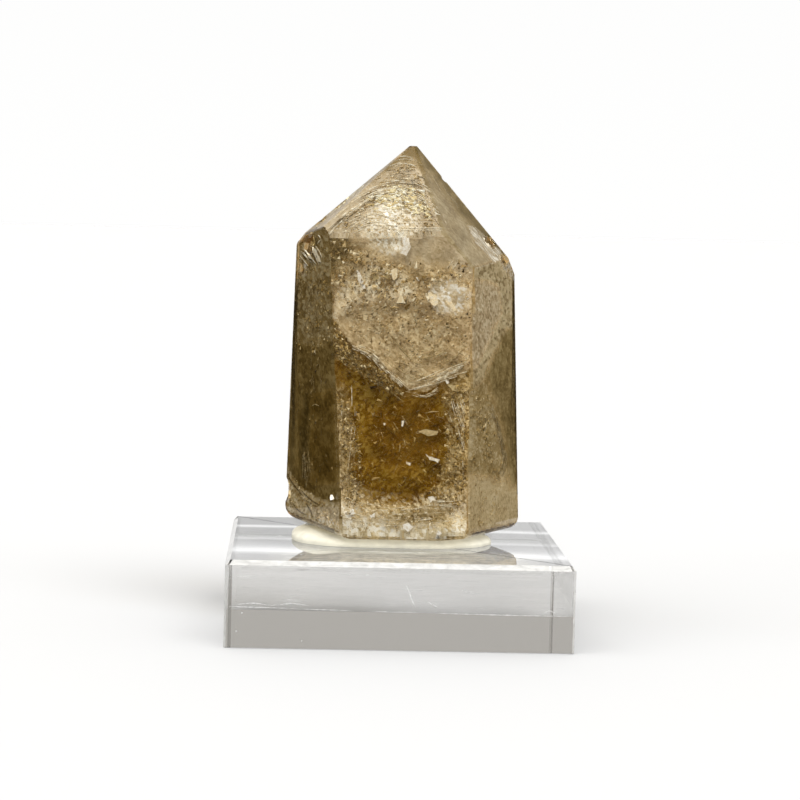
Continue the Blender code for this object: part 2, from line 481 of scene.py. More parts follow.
def veilMaterial(name, look):
    material, tree = newMaterial(name)
    coords = node(tree, "ShaderNodeTexCoord")
    grain = node(tree, "ShaderNodeMapping", vector_type="TEXTURE")
    grain.inputs["Rotation"].default_value = (0, radians(look["flow"]), 0)
    grain.inputs["Scale"].default_value = (look["grain"] * look["stretch"], look["grain"] * look["deep"],
                                           look["grain"])
    fine = node(tree, "ShaderNodeTexNoise", Scale=1.0, Detail=5.0, Roughness=0.75, Distortion=0.8)
    cells = node(tree, "ShaderNodeTexVoronoi", Scale=0.9)
    cloud = node(tree, "ShaderNodeTexNoise", Scale=1 / look["cloud"], Detail=4.0, Roughness=0.6,
                 Distortion=0.8)
    cellValue = node(tree, "ShaderNodeSeparateColor")
    blend = node(tree, "ShaderNodeMix", data_type="FLOAT")
    blend.inputs[0].default_value = look["flaky"]
    tone = node(tree, "ShaderNodeMix", data_type="FLOAT")
    tone.inputs[0].default_value = look["cloudy"]
    ramp = node(tree, "ShaderNodeValToRGB")
    spread = look["spread"]
    fillRamp(ramp, [(0.5 - spread, look["dark"]), (0.5, look["middle"]), (0.5 + spread, look["light"])])
    cover = coverNode(tree, 0.5 - look["soften"], 0.5 + look["soften"], look["cover"])
    fade = node(tree, "ShaderNodeAttribute", attribute_name="fade")
    alpha = node(tree, "ShaderNodeMath", operation="MULTIPLY")
    shader = mattShader(tree, 0.6)
    join(tree, coords.outputs["Object"], grain.inputs["Vector"])
    join(tree, grain.outputs[0], fine.inputs["Vector"])
    join(tree, grain.outputs[0], cells.inputs["Vector"])
    join(tree, coords.outputs["Object"], cloud.inputs["Vector"])
    join(tree, cells.outputs["Color"], cellValue.inputs[0])
    join(tree, fine.outputs[0], blend.inputs[2])
    join(tree, cellValue.outputs[0], blend.inputs[3])
    join(tree, blend.outputs[0], tone.inputs[2])
    join(tree, cloud.outputs[0], tone.inputs[3])
    join(tree, tone.outputs[0], ramp.inputs[0])
    join(tree, tone.outputs[0], cover.inputs["Value"])
    join(tree, cover.outputs[0], alpha.inputs[0])
    join(tree, fade.outputs["Fac"], alpha.inputs[1])
    join(tree, ramp.outputs[0], shader.inputs["Base Color"])
    join(tree, alpha.outputs[0], shader.inputs["Alpha"])
    return material


rippleSize = 18


def veilSheet(name, spec):
    left, right, top, bottom = boxOf(spec["outline"])
    step = spec.get("step", 2.2)
    columns = int((right - left) / step) + 1
    rows = int((bottom - top) / step) + 1
    bm = bmesh.new()
    fade = bm.verts.layers.float.new("fade")
    grid = {}
    for column in range(columns + 1):
        for row in range(rows + 1):
            px = left + (right - left) * column / columns
            py = top + (bottom - top) * row / rows
            across, down = 2 * column / columns - 1, 2 * row / rows - 1
            ripple = noise.noise(Vector((px, py, 0)) / rippleSize) * spec.get("ripple", 0.8)
            bend = spec.get("bend", (0, 0))
            depth = spec["depth"] + bend[0] * across * across + bend[1] * down * down + ripple
            start, inner = enter(px, py, spec["face"])
            depth = min(max(spec.get("least", 0.4), depth) * mm, deepestShare * wayThrough(start, inner))
            point = start + inner * depth
            vertex = bm.verts.new(point)
            inside = inOutline(px, py, spec["outline"])
            wobble = 1 + 0.6 * noise.noise(Vector((px, py, 7)) / 9)
            reach = toOutline(px, py, spec["outline"]) / spec["soft"] * wobble
            margin = spec.get("margin", 0.2) * mm
            room = (toOtherWalls(point, spec["face"]) - margin) / (spec.get("wallSoft", 2.0) * mm) * wobble
            high, low = spec.get("thinAbove", (-9e3, -9e3 + 1))    # fades out from low up to high
            rise = (py - high) / (low - high) + 0.35 * noise.noise(Vector((px, py, 2)) / 11)
            deep, full = spec.get("thinBelow", (-2, -1))    # and from full down to deep, heights in mm
            sink = (point.z / mm - deep) / (full - deep) + 0.35 * noise.noise(Vector((px, py, 4)) / 11)
            vertex[fade] = max(0, min(1, reach, room, rise, sink)) if inside else 0
            grid[column, row] = (vertex, inside and insideStone(point, margin),
                                 seenThrough(px, py, spec["face"]))
    for column in range(columns):
        for row in range(rows):
            ring = [grid[column, row], grid[column, row + 1], grid[column + 1, row + 1],
                    grid[column + 1, row]]
            if all(kept for _, kept, _ in ring) and any(seen for _, _, seen in ring):
                bm.faces.new([vertex for vertex, _, _ in ring])
    dropLoose(bm)
    material = veilMaterial(name, spec["look"])
    sheet = addPiece(name, meshFrom(bm, name, smooth=True), material)
    sheet.visible_shadow = False    # light scatters past them in the stone
    return sheet


beigeLook = {
    "grain": 0.50 * mm, "stretch": 1.3, "flow": 35, "cloud": 6 * mm, "flaky": 0.30, "soften": 0.10,
    "cloudy": 0.30,
    "spread": 0.17, "dark": (0.27, 0.18, 0.080), "middle": (0.60, 0.455, 0.262), "light": (0.90, 0.78, 0.54),
    "cover": (0.95, 1.0), "deep": 1.0,
}
cloudLook = dict(beigeLook, dark=(0.50, 0.40, 0.21), middle=(0.86, 0.78, 0.58), light=(1.0, 0.98, 0.90),
                 cover=(0.0, 1.0), soften=0.08)
mistLook = dict(beigeLook, dark=(0.17, 0.115, 0.040), middle=(0.46, 0.345, 0.175), light=(0.98, 0.88, 0.66),
                cover=(0.0, 0.95), soften=0.08, spread=0.12)
tipLook = dict(beigeLook, dark=(0.34, 0.25, 0.12), middle=(0.53, 0.44, 0.305), light=(0.80, 0.72, 0.56),
               cover=(0.97, 1.0), stretch=1.9, flow=-32, grain=0.36 * mm, cloudy=0.45, spread=0.24)
tanLook = dict(tipLook, dark=(0.15, 0.10, 0.035), middle=(0.27, 0.19, 0.085), light=(0.52, 0.41, 0.24),
               flow=52)
ridgeLook = dict(tipLook, dark=(0.26, 0.19, 0.085), middle=(0.57, 0.47, 0.32), light=(0.85, 0.77, 0.60),
                 flow=20, stretch=1.6)
brownLook = dict(beigeLook, dark=(0.14, 0.090, 0.030), middle=(0.36, 0.26, 0.120), light=(0.75, 0.62, 0.38),
                 cover=(0.9, 1.0), spread=0.15, grain=0.5 * mm)
oliveLook = dict(beigeLook, dark=(0.045, 0.028, 0.008), middle=(0.13, 0.088, 0.032), light=(0.40, 0.31, 0.15),
                 cover=(0.9, 1.0), grain=0.6 * mm, spread=0.14)
sideLook = dict(beigeLook, dark=(0.084, 0.049, 0.010), middle=(0.178, 0.113, 0.029),
                light=(0.322, 0.224, 0.081), cover=(0.97, 1.0), grain=0.42 * mm, stretch=1.6, flow=72,
                deep=2.0, spread=0.13, cloudy=0.5, flaky=0.3)
deepLook = dict(sideLook, dark=(0.032, 0.018, 0.003), middle=(0.070, 0.042, 0.008),
                light=(0.168, 0.112, 0.035), stretch=1.8)
stripLook = dict(sideLook, dark=(0.112, 0.070, 0.018), middle=(0.164, 0.108, 0.032),
                 light=(0.231, 0.161, 0.056), stretch=2.5)
smoothLook = dict(beigeLook, dark=(0.18, 0.120, 0.040), middle=(0.255, 0.175, 0.064),
                  light=(0.34, 0.25, 0.105), cover=(0.98, 1.0), grain=1.0 * mm, stretch=1.6, deep=2.0,
                  flow=80, spread=0.25, flaky=0.0)
coreLook = dict(beigeLook, dark=(0.085, 0.034, 0.001), middle=(0.225, 0.115, 0.004), light=(0.46, 0.30, 0.06),
                cover=(0.95, 1.0), grain=0.55 * mm, stretch=1.3, flow=-40, spread=0.15, cloudy=0.4)
wallLook = dict(beigeLook, dark=(0.11, 0.070, 0.022), middle=(0.26, 0.18, 0.072), light=(0.55, 0.42, 0.22),
                cover=(1.0, 1.0), grain=0.8 * mm, spread=0.16)
rearLook = dict(beigeLook, dark=(0.34, 0.22, 0.07), middle=(0.80, 0.61, 0.32), light=(1.0, 0.93, 0.74),
                cloud=8 * mm, cloudy=0.6, cover=(0.75, 1.0))

veils = {
    "veil_bowl": {
        "face": "front", "depth": 4.5, "bend": (-1.5, -1.5), "soft": 4, "thinAbove": (286, 318),
        "look": beigeLook,
        "outline": [(330, 280), (338, 330), (352, 348), (372, 356), (406, 390), (426, 394), (445, 383),
                    (478, 366), (489, 340), (502, 318), (500, 275), (430, 275)],
    },
    "veil_cloud": {
        "face": "tip", "depth": 1.3, "soft": 13, "look": dict(cloudLook, cover=(0.0, 0.9), soften=0.12),
        "outline": [(348, 228), (358, 212), (384, 194), (410, 190), (426, 206), (424, 228), (414, 248),
                    (396, 256), (374, 246)],
    },
    "veil_cloud_low": {
        "face": "front", "depth": 1.6, "soft": 9, "wallSoft": 0.2, "margin": 0.05,
        "look": dict(cloudLook, cover=(0.0, 0.85)),
        "outline": [(362, 224), (406, 224), (412, 238), (408, 252), (392, 258), (376, 254), (366, 244)],
    },
    "veil_tip": {
        "face": "tip", "depth": 2.6, "bend": (-0.8, 0), "soft": 4, "wallSoft": 1.2, "margin": 0.3,
        "thinBelow": (86, 91),
        "look": tipLook,
        "outline": [(300, 244), (330, 202), (380, 158), (406, 138), (430, 140), (455, 205), (490, 270),
                    (440, 275), (380, 270), (330, 268)],
    },
    "veil_tip_back": {
        "face": "tip", "depth": 6.5, "soft": 4, "wallSoft": 0.8, "thinBelow": (85, 90), "look": tipLook,
        "outline": [(290, 260), (330, 196), (380, 150), (406, 130), (436, 132), (465, 205), (505, 290),
                    (300, 290)],
    },
    "veil_ridge": {
        "face": "front", "depth": 5.0, "soft": 13, "wallSoft": 1.4, "look": ridgeLook,
        "outline": [(350, 204), (488, 204), (498, 280), (484, 306), (466, 282), (438, 274), (404, 272),
                    (384, 262), (360, 254)],
    },
    "veil_tip_right": {
        "face": "tipRight", "depth": 1.4, "step": 1.3, "soft": 5, "wallSoft": 0.1, "margin": 0.02,
        "look": dict(tanLook, dark=(0.16, 0.11, 0.045), middle=(0.33, 0.25, 0.13), light=(0.60, 0.50, 0.32),
                     cloudy=0.5),
        "outline": [(400, 130), (436, 136), (480, 195), (530, 262), (524, 296), (476, 290), (420, 240)],
    },
    "veil_apex": {
        "face": "tip", "depth": 1.0, "ripple": 0.2, "soft": 8, "wallSoft": 0.1, "margin": 0.16,
        "look": dict(smoothLook, dark=(0.10, 0.066, 0.022), middle=(0.19, 0.13, 0.052),
                     light=(0.38, 0.29, 0.14), grain=0.5 * mm,
                     cover=(0.8, 1.0)),
        "outline": [(350, 186), (392, 148), (410, 130), (436, 130), (450, 186), (432, 184), (410, 166),
                    (376, 178)],
    },
    "veil_apex_right": {
        "face": "tipRight", "depth": 0.5, "ripple": 0.2, "soft": 9, "step": 1.1, "wallSoft": 0.1,
        "margin": 0.05,
        "look": dict(smoothLook, dark=(0.065, 0.040, 0.005), middle=(0.14, 0.092, 0.020),
                     light=(0.28, 0.20, 0.07), flow=48,
                     grain=0.8 * mm),
        "outline": [(410, 128), (444, 134), (470, 172), (492, 206), (520, 248), (500, 262), (476, 242),
                    (454, 212), (434, 186), (416, 162), (404, 146)],
    },
    "veil_apex_left": {
        "face": "tipLeft", "depth": 0.5, "ripple": 0.1, "soft": 4, "wallSoft": 0.05, "margin": 0.03,
        "least": 0.2,
        "look": dict(smoothLook, dark=(0.12, 0.08, 0.03), middle=(0.24, 0.17, 0.075),
                     light=(0.42, 0.32, 0.16), flow=-40, grain=0.5 * mm,
                     cover=(0.6, 1.0)),
        "outline": [(352, 186), (379, 160), (412, 136), (418, 144), (390, 170), (362, 196)],
    },
    "veil_tip_left": {
        "face": "tipLeft", "depth": 1.2, "step": 1.3, "soft": 4, "wallSoft": 0.02, "margin": 0.02,
        "least": 0.2, "look": dict(tanLook, flow=-38, dark=(0.12, 0.08, 0.028), middle=(0.22, 0.155, 0.07)),
        "outline": [(300, 240), (300, 222), (356, 176), (380, 180), (345, 222), (322, 246)],
    },
    "veil_upper": {
        "face": "front", "depth": 6.5, "bend": (2, 0), "soft": 12, "wallSoft": 1.4,
        "look": dict(brownLook, middle=(0.55, 0.44, 0.275), dark=(0.24, 0.175, 0.09),
                     light=(0.86, 0.77, 0.58)),
        "outline": [(322, 216), (400, 210), (482, 216), (505, 300), (484, 345), (330, 335)],
    },
    "veil_upper_left": {
        "face": "front", "depth": 5.0, "soft": 9, "wallSoft": 0.5,
        "look": dict(oliveLook, middle=(0.20, 0.14, 0.055)),
        "outline": [(310, 216), (354, 226), (356, 254), (340, 272), (326, 290), (318, 300)],
    },
    "veil_bowl_right": {
        "face": "right", "depth": 0.5, "ripple": 0.1, "soft": 6, "wallSoft": 0.1, "margin": 0.05,
        "look": beigeLook,
        "outline": [(452, 292), (476, 276), (500, 282), (505, 312), (492, 342), (480, 368), (466, 378),
                    (452, 378)],
    },
    "veil_flake_row": {
        "face": "front", "depth": 4.0, "soft": 10,
        "look": dict(mistLook, dark=(0.30, 0.21, 0.09), middle=(0.96, 0.87, 0.66),
                                                                light=(0.98, 0.92, 0.76), cover=(0.5, 1.0)),
        "outline": [(350, 272), (368, 262), (404, 268), (420, 284), (416, 304), (384, 306), (352, 312),
                    (340, 328), (330, 318), (334, 292)],
    },
    "veil_grey_patch": {
        "face": "front", "depth": 1.3, "soft": 8,
        "look": dict(cloudLook, middle=(0.74, 0.62, 0.42), cover=(0.4, 1.0)),
        "outline": [(424, 296), (432, 278), (448, 274), (472, 284), (474, 308), (458, 318), (436, 316)],
    },
    "veil_right_upper": {
        "face": "right", "depth": 0.7, "ripple": 0.2, "soft": 9, "wallSoft": 0.4,
        "look": dict(brownLook, flow=60, stretch=1.4, deep=2.0, middle=(0.58, 0.45, 0.245)),
        "outline": [(458, 248), (530, 250), (528, 345), (500, 356), (488, 380), (470, 400)],
    },
    "veil_right": {
        "face": "right", "depth": 0.45, "ripple": 0.1, "soft": 7, "wallSoft": 0.1, "margin": 0.1,
        "look": dict(smoothLook, grain=0.6 * mm, spread=0.13, flaky=0.15, light=(0.46, 0.34, 0.15),
                     dark=(0.13, 0.085, 0.025)),
        "outline": [(504, 326), (532, 322), (532, 488), (506, 494), (504, 450), (494, 410), (482, 380),
                    (490, 352)],
    },
    "veil_right_base": {
        "face": "right", "depth": 1.0, "ripple": 0.2, "step": 1.3, "soft": 2, "wallSoft": 0.02,
        "margin": 0.02,
        "look": dict(brownLook, flow=70, stretch=1.4, deep=2.0, cover=(1, 1), flaky=0.12,
                     dark=(0.20, 0.13, 0.045), middle=(0.40, 0.28, 0.115)),
        "outline": [(440, 240), (540, 236), (540, 552), (440, 552)],
    },
    "veil_right_lower": {
        "face": "right", "depth": 0.6, "ripple": 0.2, "soft": 11, "wallSoft": 0.3, "margin": 0.1,
        "look": dict(brownLook, flow=80, stretch=1.5, deep=2.0, flaky=0.1, dark=(0.30, 0.20, 0.08),
                     middle=(0.64, 0.49, 0.26)),
        "outline": [(458, 470), (500, 474), (532, 474), (532, 542), (458, 542)],
    },
    "veil_stripe": {
        "face": "front", "depth": 2.6, "soft": 8,
        "look": dict(mistLook, flow=82, stretch=1.8, cover=(0.0, 0.8), middle=(0.36, 0.25, 0.11),
                                                     light=(0.84, 0.68, 0.40)),
        "outline": [(334, 396), (346, 410), (352, 424), (360, 444), (352, 474), (366, 505), (340, 512),
                    (318, 505), (326, 470), (332, 430), (334, 390)],
    },
    "veil_stripe_back": {
        "face": "front", "depth": 6.0, "soft": 12,
        "look": dict(brownLook, middle=(0.20, 0.13, 0.042), flow=80),
        "outline": [(318, 372), (346, 380), (352, 400), (356, 424), (352, 462), (356, 488), (378, 520),
                    (312, 520)],
    },
    "veil_base_mist": {
        "face": "front", "depth": 3.2, "soft": 16,
        "look": dict(mistLook, middle=(0.50, 0.37, 0.18), light=(0.98, 0.86, 0.62)),
        "outline": [(310, 464), (350, 474), (380, 490), (420, 492), (450, 482), (486, 462), (486, 530),
                    (310, 530)],
    },
    "veil_base": {
        "face": "front", "depth": 2.2, "soft": 13, "wallSoft": 0.5,
        "look": dict(cloudLook, middle=(0.88, 0.78, 0.56), cover=(0.3, 1.0), cloudy=0.35),
        "outline": [(306, 490), (340, 494), (366, 506), (400, 520), (440, 520), (462, 502), (500, 496),
                    (510, 540), (440, 552), (340, 550)],
    },
    "veil_base_back": {
        "face": "front", "depth": 5.0, "soft": 14, "wallSoft": 0.4,
        "look": dict(brownLook, middle=(0.52, 0.41, 0.21)),
        "outline": [(300, 480), (348, 482), (376, 498), (410, 502), (440, 494), (466, 484), (505, 480),
                    (512, 556), (300, 556)],
    },
    "veil_lower_right": {
        "face": "front", "depth": 3.6, "bend": (1, 0), "soft": 11,
        "look": dict(mistLook, middle=(0.38, 0.26, 0.095), light=(0.88, 0.70, 0.38)),
        "outline": [(440, 392), (470, 372), (492, 390), (505, 440), (503, 500), (450, 510), (430, 490),
                    (446, 450)],
    },
    "veil_lower_right_back": {
        "face": "front", "depth": 6.0, "soft": 14, "look": dict(brownLook, middle=(0.29, 0.195, 0.065)),
        "outline": [(434, 376), (480, 350), (512, 380), (512, 520), (432, 520), (446, 494), (462, 462),
                    (466, 436), (452, 410)],
    },
    "veil_crust_back": {
        "face": "front", "depth": 5.5, "soft": 7,
        "look": dict(oliveLook, dark=(0.085, 0.050, 0.010), middle=(0.27, 0.18, 0.060),
                     light=(0.60, 0.46, 0.22)),
        "outline": [(316, 304), (332, 318), (346, 346), (368, 364), (400, 394), (394, 398), (368, 382),
                    (346, 368), (330, 358), (316, 348)],
    },
    "scuff_right": {
        "face": "tipRight", "depth": 0.14, "ripple": 0.0, "least": 0.1, "step": 1.5, "soft": 3,
        "wallSoft": 0.1,
        "margin": 0.03, "look": dict(cloudLook, dark=(0.34, 0.29, 0.20), light=(0.86, 0.80, 0.66),
                                     middle=(0.50, 0.43, 0.31), flow=50, stretch=3,
                                     cover=(0.35, 1.0)),
        "outline": [(466, 224), (476, 226), (494, 242), (511, 262), (520, 276), (504, 284), (492, 262),
                    (474, 243)],
    },
    "scuff_right_low": {
        "face": "right", "depth": 0.14, "ripple": 0.0, "least": 0.1, "step": 1.5, "soft": 4, "wallSoft": 0.1,
        "margin": 0.03, "look": dict(cloudLook, dark=(0.30, 0.25, 0.17), light=(0.80, 0.73, 0.58),
                                     middle=(0.46, 0.38, 0.26), flow=50, stretch=2,
                                     cover=(0.0, 0.9)),
        "outline": [(498, 252), (524, 262), (524, 284), (512, 282), (502, 270)],
    },
    "scuff_left": {
        "face": "tipLeft", "depth": 0.14, "ripple": 0.0, "least": 0.1, "step": 1.5, "soft": 2,
        "wallSoft": 0.1,
        "margin": 0.03, "look": dict(cloudLook, dark=(0.208, 0.144, 0.060), middle=(0.432, 0.320, 0.152),
                                     flow=-62, light=(0.784, 0.688, 0.464), grain=0.6 * mm, stretch=2.5,
                                     cover=(0.75, 1.0)),
        "outline": [(308, 240), (308, 228), (326, 210), (346, 192), (362, 186), (352, 206), (336, 224),
                    (322, 242)],
    },
    "veil_left": {
        "face": "left", "depth": 1.2, "ripple": 0.2, "step": 1.3, "soft": 2, "wallSoft": 0.02, "margin": 0.02,
        "look": sideLook, "outline": [(262, 226), (360, 222), (362, 550), (258, 550)],
    },
    "veil_left_deep": {
        "face": "left", "depth": 0.9, "ripple": 0.2, "soft": 8, "wallSoft": 0.1, "margin": 0.08,
        "look": deepLook,
        "outline": [(297, 392), (314, 386), (316, 420), (312, 482), (296, 486), (294, 430)],
    },
    "veil_left_brown": {
        "face": "left", "depth": 0.8, "ripple": 0.2, "soft": 9, "wallSoft": 0.1, "margin": 0.05,
        "look": dict(sideLook, dark=(0.063, 0.035, 0.005), middle=(0.126, 0.072, 0.013),
                     light=(0.210, 0.133, 0.035)),
        "outline": [(308, 392), (340, 384), (342, 486), (308, 488)],
    },
    "veil_left_patch": {
        "face": "left", "depth": 0.8, "ripple": 0.3, "soft": 12, "wallSoft": 0.1, "margin": 0.05,
        "look": dict(mistLook, dark=(0.108, 0.072, 0.025), middle=(0.266, 0.187, 0.076),
                     light=(0.475, 0.374, 0.202), flow=60, stretch=1.6, deep=2.0,
                     cover=(0.35, 1.0)),
        "outline": [(290, 228), (340, 226), (342, 338), (318, 350), (284, 342)],
    },
    "veil_left_strip": {
        "face": "left", "depth": 0.7, "ripple": 0.1, "soft": 5, "wallSoft": 0.05, "margin": 0.05,
        "look": stripLook,
        "outline": [(268, 300), (300, 290), (299, 480), (290, 500), (262, 500)],
    },
    "veil_left_foot": {
        "face": "left", "depth": 0.7, "ripple": 0.3, "soft": 6, "wallSoft": 0.1, "margin": 0.05,
        "look": dict(tanLook, flow=-55, middle=(0.62, 0.48, 0.25), light=(0.94, 0.80, 0.54),
                     dark=(0.30, 0.19, 0.065), grain=0.4 * mm, flaky=0.3, deep=2.0,
                     spread=0.13),
        "outline": [(270, 460), (288, 464), (300, 484), (318, 496), (336, 501), (356, 504), (356, 556),
                    (270, 556)],
    },
    "veil_left_toe": {
        "face": "left", "depth": 0.4, "ripple": 0.2, "soft": 6, "wallSoft": 0.1, "margin": 0.05,
        "look": dict(cloudLook, dark=(0.48, 0.35, 0.16), middle=(0.86, 0.73, 0.46), flow=-30, deep=2.0),
        "outline": [(276, 512), (290, 510), (312, 513), (340, 518), (352, 556), (276, 556)],
    },
    "veil_core_deep": {
        "face": "front", "depth": 4.8, "soft": 20,
        "look": dict(coreLook, dark=(0.026, 0.008, 0.0002), middle=(0.115, 0.048, 0.001),
                                                              light=(0.30, 0.165, 0.02), cover=(0.45, 1.0)),
        "outline": [(378, 396), (432, 392), (452, 424), (444, 462), (402, 482), (368, 462), (362, 426)],
    },
    "veil_core": {
        "face": "front", "depth": 5.6, "bend": (1, 1), "soft": 20, "look": coreLook,
        "outline": [(322, 350), (352, 346), (376, 360), (406, 382), (440, 380), (474, 374), (480, 500),
                    (440, 514), (390, 526), (340, 520), (326, 440)],
    },
}
for name, spec in veils.items():
    veilSheet(name, spec)


def middleWall(name, spec):    # the cloudy middle, a wavy sheet right across the stone
    columns, rows = spec["columns"], spec["rows"]
    low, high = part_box("crystal_point")
    bm = bmesh.new()
    fade = bm.verts.layers.float.new("fade")
    grid = {}
    for column in range(columns + 1):
        for row in range(rows + 1):
            x = low.x + (high.x - low.x) * column / columns
            z = low.z + (high.z - low.z) * row / rows
            wave = noise.noise(Vector((x, z, 3)) / (spec["waveSize"] * mm)) * spec["wave"]
            point = Vector((x, (spec["place"] + wave) * mm, z))
            vertex = bm.verts.new(point)
            vertex[fade] = 1.0
            grid[column, row] = (vertex, insideStone(point, spec["margin"] * mm))
    for column in range(columns):
        for row in range(rows):
            ring = [grid[column, row], grid[column + 1, row], grid[column + 1, row + 1],
                    grid[column, row + 1]]
            if all(kept for _, kept in ring):
                bm.faces.new([vertex for vertex, _ in ring])
    dropLoose(bm)
    material = veilMaterial(name, spec["look"])
    return addPiece(name, meshFrom(bm, name, smooth=True), material)


middleWall("veil_middle", {
    "columns": 90, "rows": 150, "place": 1.0, "wave": 4.0, "waveSize": 16, "margin": 0.3, "look": wallLook,
})


def backVeils(name, spec):    # the same cloudiness behind the faces that look away from the camera
    bm = bmesh.new()
    fade = bm.verts.layers.float.new("fade")
    toViewer = -sightLine(frameMiddle, frameMiddle)
    for wall, (centre, normal) in enumerate(stoneWalls):
        if normal.dot(toViewer) > -0.05 or normal.z < -0.5:
            continue
        across = Vector((0, 0, 1)).cross(normal).normalized()
        upward = normal.cross(across)
        grid = {}
        steps = int(spec["reach"] / spec["step"])
        for column in range(-steps, steps + 1):
            for row in range(-steps, steps + 1):
                flat = across * (column * spec["step"] * mm) + upward * (row * spec["step"] * mm)
                ripple = noise.noise(Vector((column, row, wall)) / 6) * spec["ripple"]
                point = centre + flat - normal * (spec["depth"] + ripple) * mm
                if not insideStone(point, spec["margin"] * mm):
                    continue
                room = min((at - point).dot(out) for at, out in stoneWalls if out.dot(normal) < sameWall)
                vertex = bm.verts.new(point)
                vertex[fade] = max(0, min(1, (room / mm - spec["margin"]) / spec["wallSoft"]))
                grid[column, row] = vertex
        for column, row in list(grid):
            ring = [(column, row), (column + 1, row), (column + 1, row + 1), (column, row + 1)]
            if all(corner in grid for corner in ring):
                bm.faces.new([grid[corner] for corner in ring])
    dropLoose(bm)
    material = veilMaterial(name, spec["look"])
    sheets = addPiece(name, meshFrom(bm, name, smooth=True), material)
    sheets.visible_shadow = False
    return sheets


backVeils("veil_back", {"depth": 0.9, "ripple": 0.3, "margin": 0.3, "wallSoft": 0.5, "step": 1.2, "reach": 66,
                        "look": rearLook})
print("veils ready")

# shards: swarms of small flakes, one node tree for them all


def shardTree():
    tree = bpy.data.node_groups.new("scatterShards", "GeometryNodeTree")
    sockets = [("Geometry", "NodeSocketGeometry"), ("Sides", "NodeSocketInt"),
               ("Thickness", "NodeSocketFloat"), ("Stretch", "NodeSocketFloat"),
               ("Tilt", "NodeSocketFloat"), ("Swing", "NodeSocketFloat"), ("Seed", "NodeSocketInt"),
               ("Material", "NodeSocketMaterial")]
    for label, kind in sockets:
        tree.interface.new_socket(label, in_out="INPUT", socket_type=kind)
    tree.interface.new_socket("Geometry", in_out="OUTPUT", socket_type="NodeSocketGeometry")
    source = node(tree, "NodeGroupInput")
    result = node(tree, "NodeGroupOutput")
    shard = node(tree, "GeometryNodeMeshCone", fill_type="NGON")
    shard.inputs["Radius Top"].default_value = 0.0
    shard.inputs["Radius Bottom"].default_value = 0.5
    shard.inputs["Depth"].default_value = 1.0
    scatter = node(tree, "GeometryNodeInstanceOnPoints")
    facing = node(tree, "GeometryNodeInputNamedAttribute", data_type="FLOAT_VECTOR", Name="facing")
    along = node(tree, "GeometryNodeInputNamedAttribute", data_type="FLOAT_VECTOR", Name="along")
    size = node(tree, "GeometryNodeInputNamedAttribute", data_type="FLOAT", Name="size")
    axes = node(tree, "FunctionNodeAxesToRotation", primary_axis="Z", secondary_axis="X")
    limit = node(tree, "ShaderNodeCombineXYZ")
    against = node(tree, "ShaderNodeVectorMath", operation="SCALE")
    against.inputs["Scale"].default_value = -1.0
    swing = node(tree, "FunctionNodeRandomValue", data_type="FLOAT_VECTOR")
    toTurn = node(tree, "FunctionNodeEulerToRotation")
    turned = node(tree, "FunctionNodeRotateRotation", rotation_space="LOCAL")
    shape = node(tree, "ShaderNodeCombineXYZ", Y=1.0)
    drawOut = node(tree, "FunctionNodeRandomValue", data_type="FLOAT")
    drawOut.inputs[2].default_value = 1.0
    grow = node(tree, "ShaderNodeVectorMath", operation="SCALE")
    real = node(tree, "GeometryNodeRealizeInstances")
    finish = node(tree, "GeometryNodeSetMaterial")
    join(tree, source.outputs["Sides"], shard.inputs["Vertices"])
    join(tree, source.outputs["Geometry"], scatter.inputs["Points"])
    join(tree, shard.outputs["Mesh"], scatter.inputs["Instance"])
    join(tree, facing.outputs["Attribute"], axes.inputs[0])
    join(tree, along.outputs["Attribute"], axes.inputs[1])
    join(tree, source.outputs["Tilt"], limit.inputs["X"])
    join(tree, source.outputs["Tilt"], limit.inputs["Y"])
    join(tree, source.outputs["Swing"], limit.inputs["Z"])
    join(tree, limit.outputs[0], against.inputs[0])
    join(tree, against.outputs[0], swing.inputs[0])
    join(tree, limit.outputs[0], swing.inputs[1])
    join(tree, source.outputs["Seed"], swing.inputs["Seed"])
    join(tree, swing.outputs[0], toTurn.inputs[0])
    join(tree, axes.outputs[0], turned.inputs[0])
    join(tree, toTurn.outputs[0], turned.inputs[1])
    join(tree, turned.outputs[0], scatter.inputs["Rotation"])
    join(tree, source.outputs["Stretch"], drawOut.inputs[3])
    join(tree, source.outputs["Seed"], drawOut.inputs["Seed"])
    join(tree, drawOut.outputs[1], shape.inputs["X"])
    join(tree, source.outputs["Thickness"], shape.inputs["Z"])
    join(tree, shape.outputs[0], grow.inputs[0])
    join(tree, size.outputs["Attribute"], grow.inputs["Scale"])
    join(tree, grow.outputs[0], scatter.inputs["Scale"])
    join(tree, scatter.outputs[0], real.inputs[0])
    join(tree, real.outputs[0], finish.inputs[0])
    join(tree, source.outputs["Material"], finish.inputs["Material"])
    join(tree, finish.outputs[0], result.inputs[0])
    return tree


scatterShards = shardTree()


reshuffle = 37.7    # a second chance draw from each shard's first one


def shardMaterial(name, stops, solid):
    material, tree = newMaterial(name)
    info = node(tree, "ShaderNodeNewGeometry")
    ramp = node(tree, "ShaderNodeValToRGB")
    fillRamp(ramp, stops)
    shuffle = node(tree, "ShaderNodeMath", operation="MULTIPLY")
    shuffle.inputs[1].default_value = reshuffle
    again = node(tree, "ShaderNodeMath", operation="FRACT")
    cover = coverNode(tree, 0.0, 1.0, solid)
    shader = mattShader(tree, 0.4, 0.15)
    join(tree, info.outputs["Random Per Island"], ramp.inputs[0])
    join(tree, info.outputs["Random Per Island"], shuffle.inputs[0])
    join(tree, shuffle.outputs[0], again.inputs[0])
    join(tree, again.outputs[0], cover.inputs["Value"])
    join(tree, ramp.outputs[0], shader.inputs["Base Color"])
    join(tree, cover.outputs[0], shader.inputs["Alpha"])
    return material


